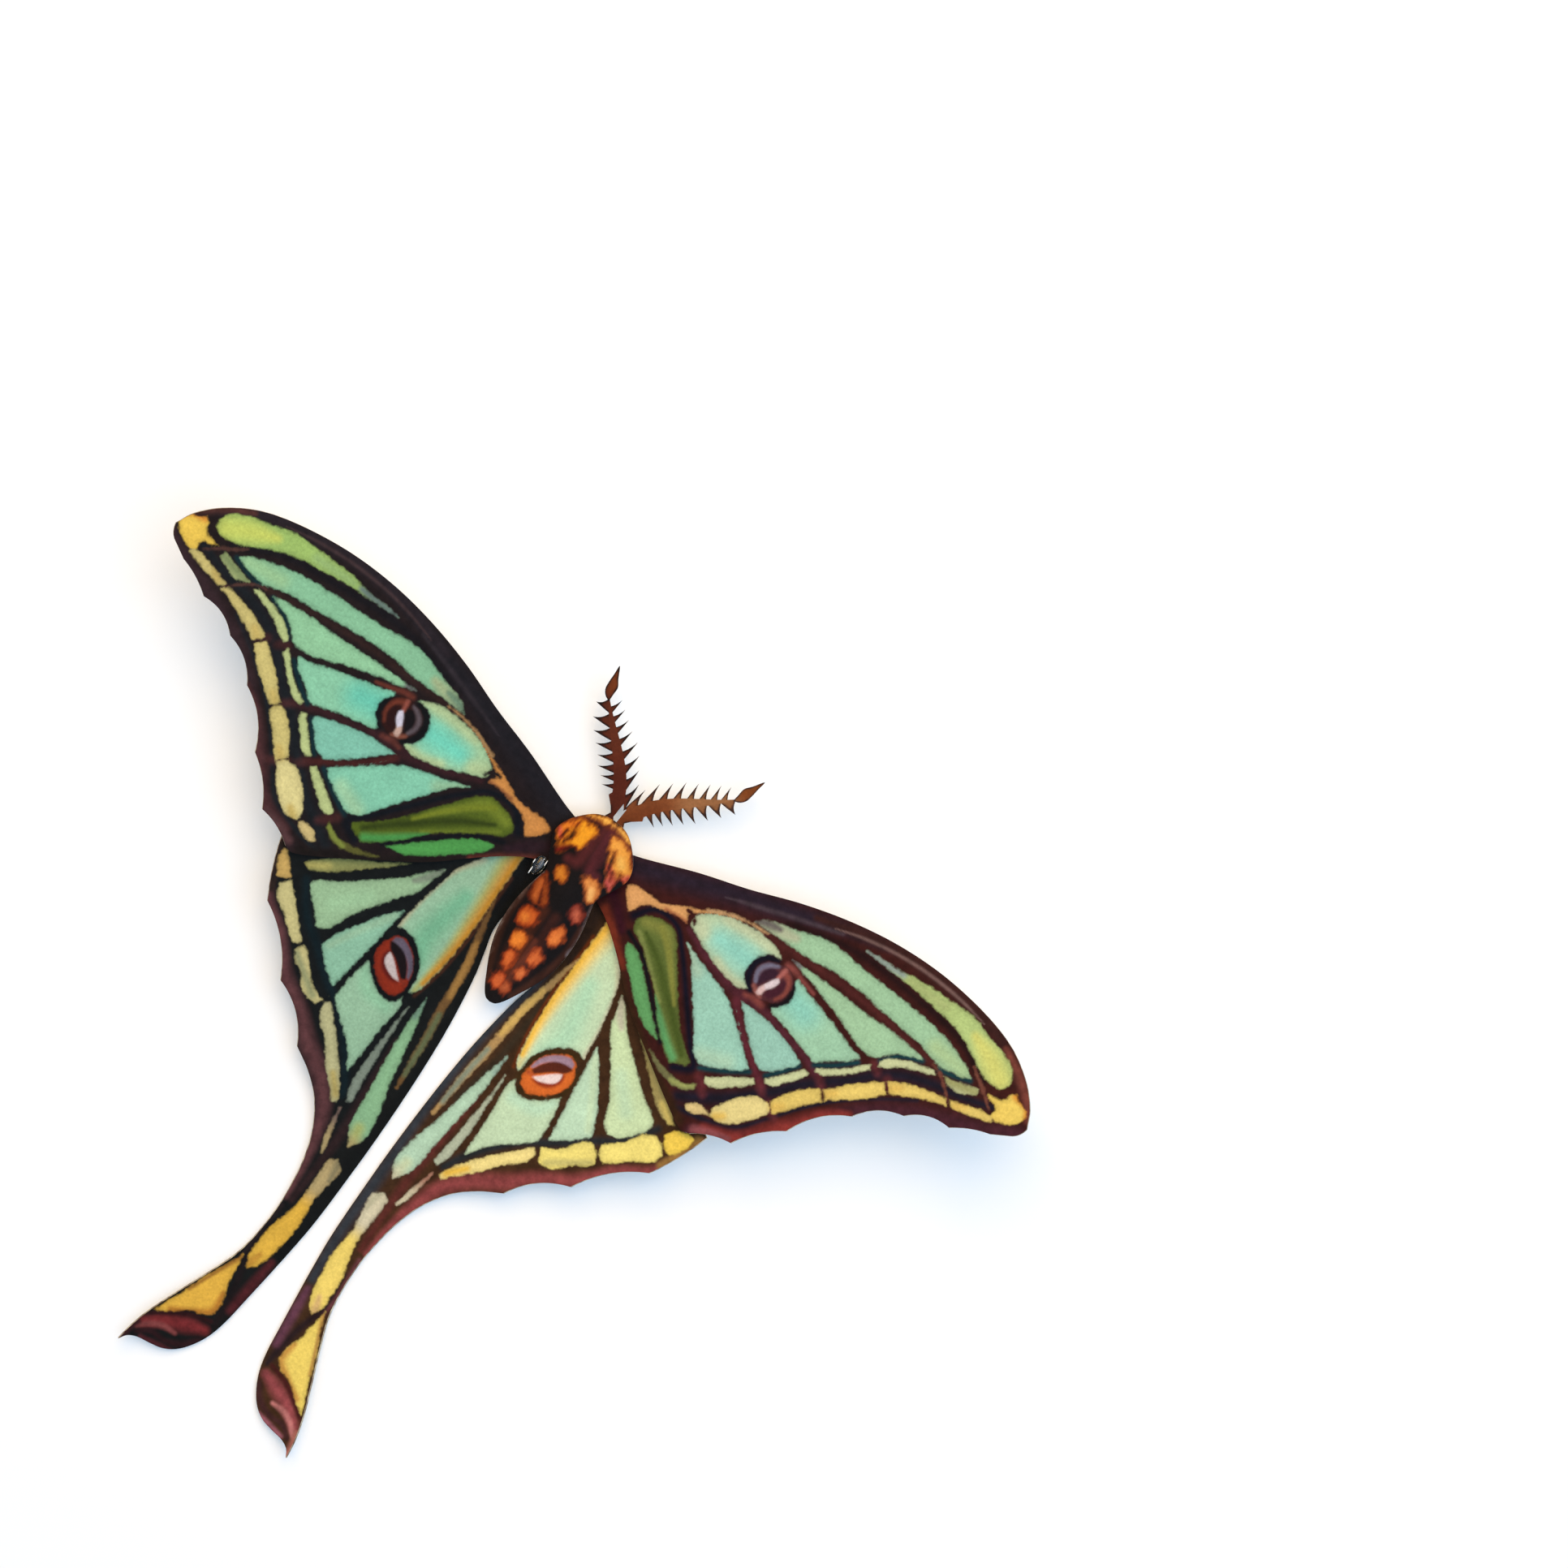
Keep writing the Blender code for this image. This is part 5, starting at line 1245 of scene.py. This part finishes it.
clear_glue, _, gloss = principled("clear_glue", (0.34, 0.3, 0.27), 0.08)
gloss.inputs["Transmission Weight"].default_value = 1.0
gloss.inputs["IOR"].default_value = 1.47
# Near-white for the painted glints: threads that stand in for the lamps' highlights on the glue bead.
glint_paint = principled("glint_paint", (0.86, 0.86, 0.84), 0.25)[0]


def glue_lump(name, centre, half, level, seed, power=1.0, finish=clear_glue):
    """A closed lump of glue. A power below one makes it boxier, like glue that is pressed flat."""
    shaped = bmesh.new()
    bmesh.ops.create_icosphere(shaped, subdivisions=5, radius=1)
    for vertex in shaped.verts:
        x, y, z = vertex.co
        swell = 1 + 2 * LUMPS * noise.noise(Vector((1.9 * x + seed, 2.3 * y, 1.9 * z)))
        swell += LUMPS / 2 * noise.noise(Vector((5 * x, 5 * y + seed, 5 * z)))
        flat = [math.copysign(abs(v) ** power, v) * swell * h for v, h in zip((x, y, z), half)]
        place = on_body(np.array([[centre[0] + flat[0], centre[1] + flat[1]]]), np.array([level]))[0]
        vertex.co = (place[0] * MM, place[1] * MM, (level + flat[2]) * MM)
    mesh = bpy.data.meshes.new(name)
    shaped.to_mesh(mesh)
    shaped.free()
    mesh.materials.append(finish)
    mesh.shade_smooth()
    made = bpy.data.objects.new(name, mesh)
    bpy.context.scene.collection.objects.link(made)
    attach(made, "root")
    return made


pad_low, pad_high = (corner.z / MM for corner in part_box("glue_pad"))
pad = glue_lump("glue_pad_clear", (0, (PAD_BACK + PAD_FRONT) / 2),
                (PAD_HALF_WIDTH, (PAD_FRONT - PAD_BACK) / 2, (pad_high - pad_low) / 2),
                (pad_low + pad_high) / 2, seed=4.0, power=0.5)
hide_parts("glue_pad")
bead_low, bead_high = (corner.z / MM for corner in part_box("glue_bead"))
bead = glue_lump("glue_bead_clear", BEAD_CENTRE, BEAD_HALF, (bead_low + bead_high) / 2, seed=9.0)
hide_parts("glue_bead")
# The painted glints: thin white threads on the bead in place of the lamps' highlights on the glue.
for k, (x, y, length) in enumerate(GLINT_THREADS):
    glue_lump("glint_thread_" + str(k + 1), (x, y), (GLINT_THREAD_HALF[0], length, GLINT_THREAD_HALF[1]),
              bead_high - GLINT_THREAD_SUNK * (1 + k % 2), seed=2.0 + k, finish=glint_paint)
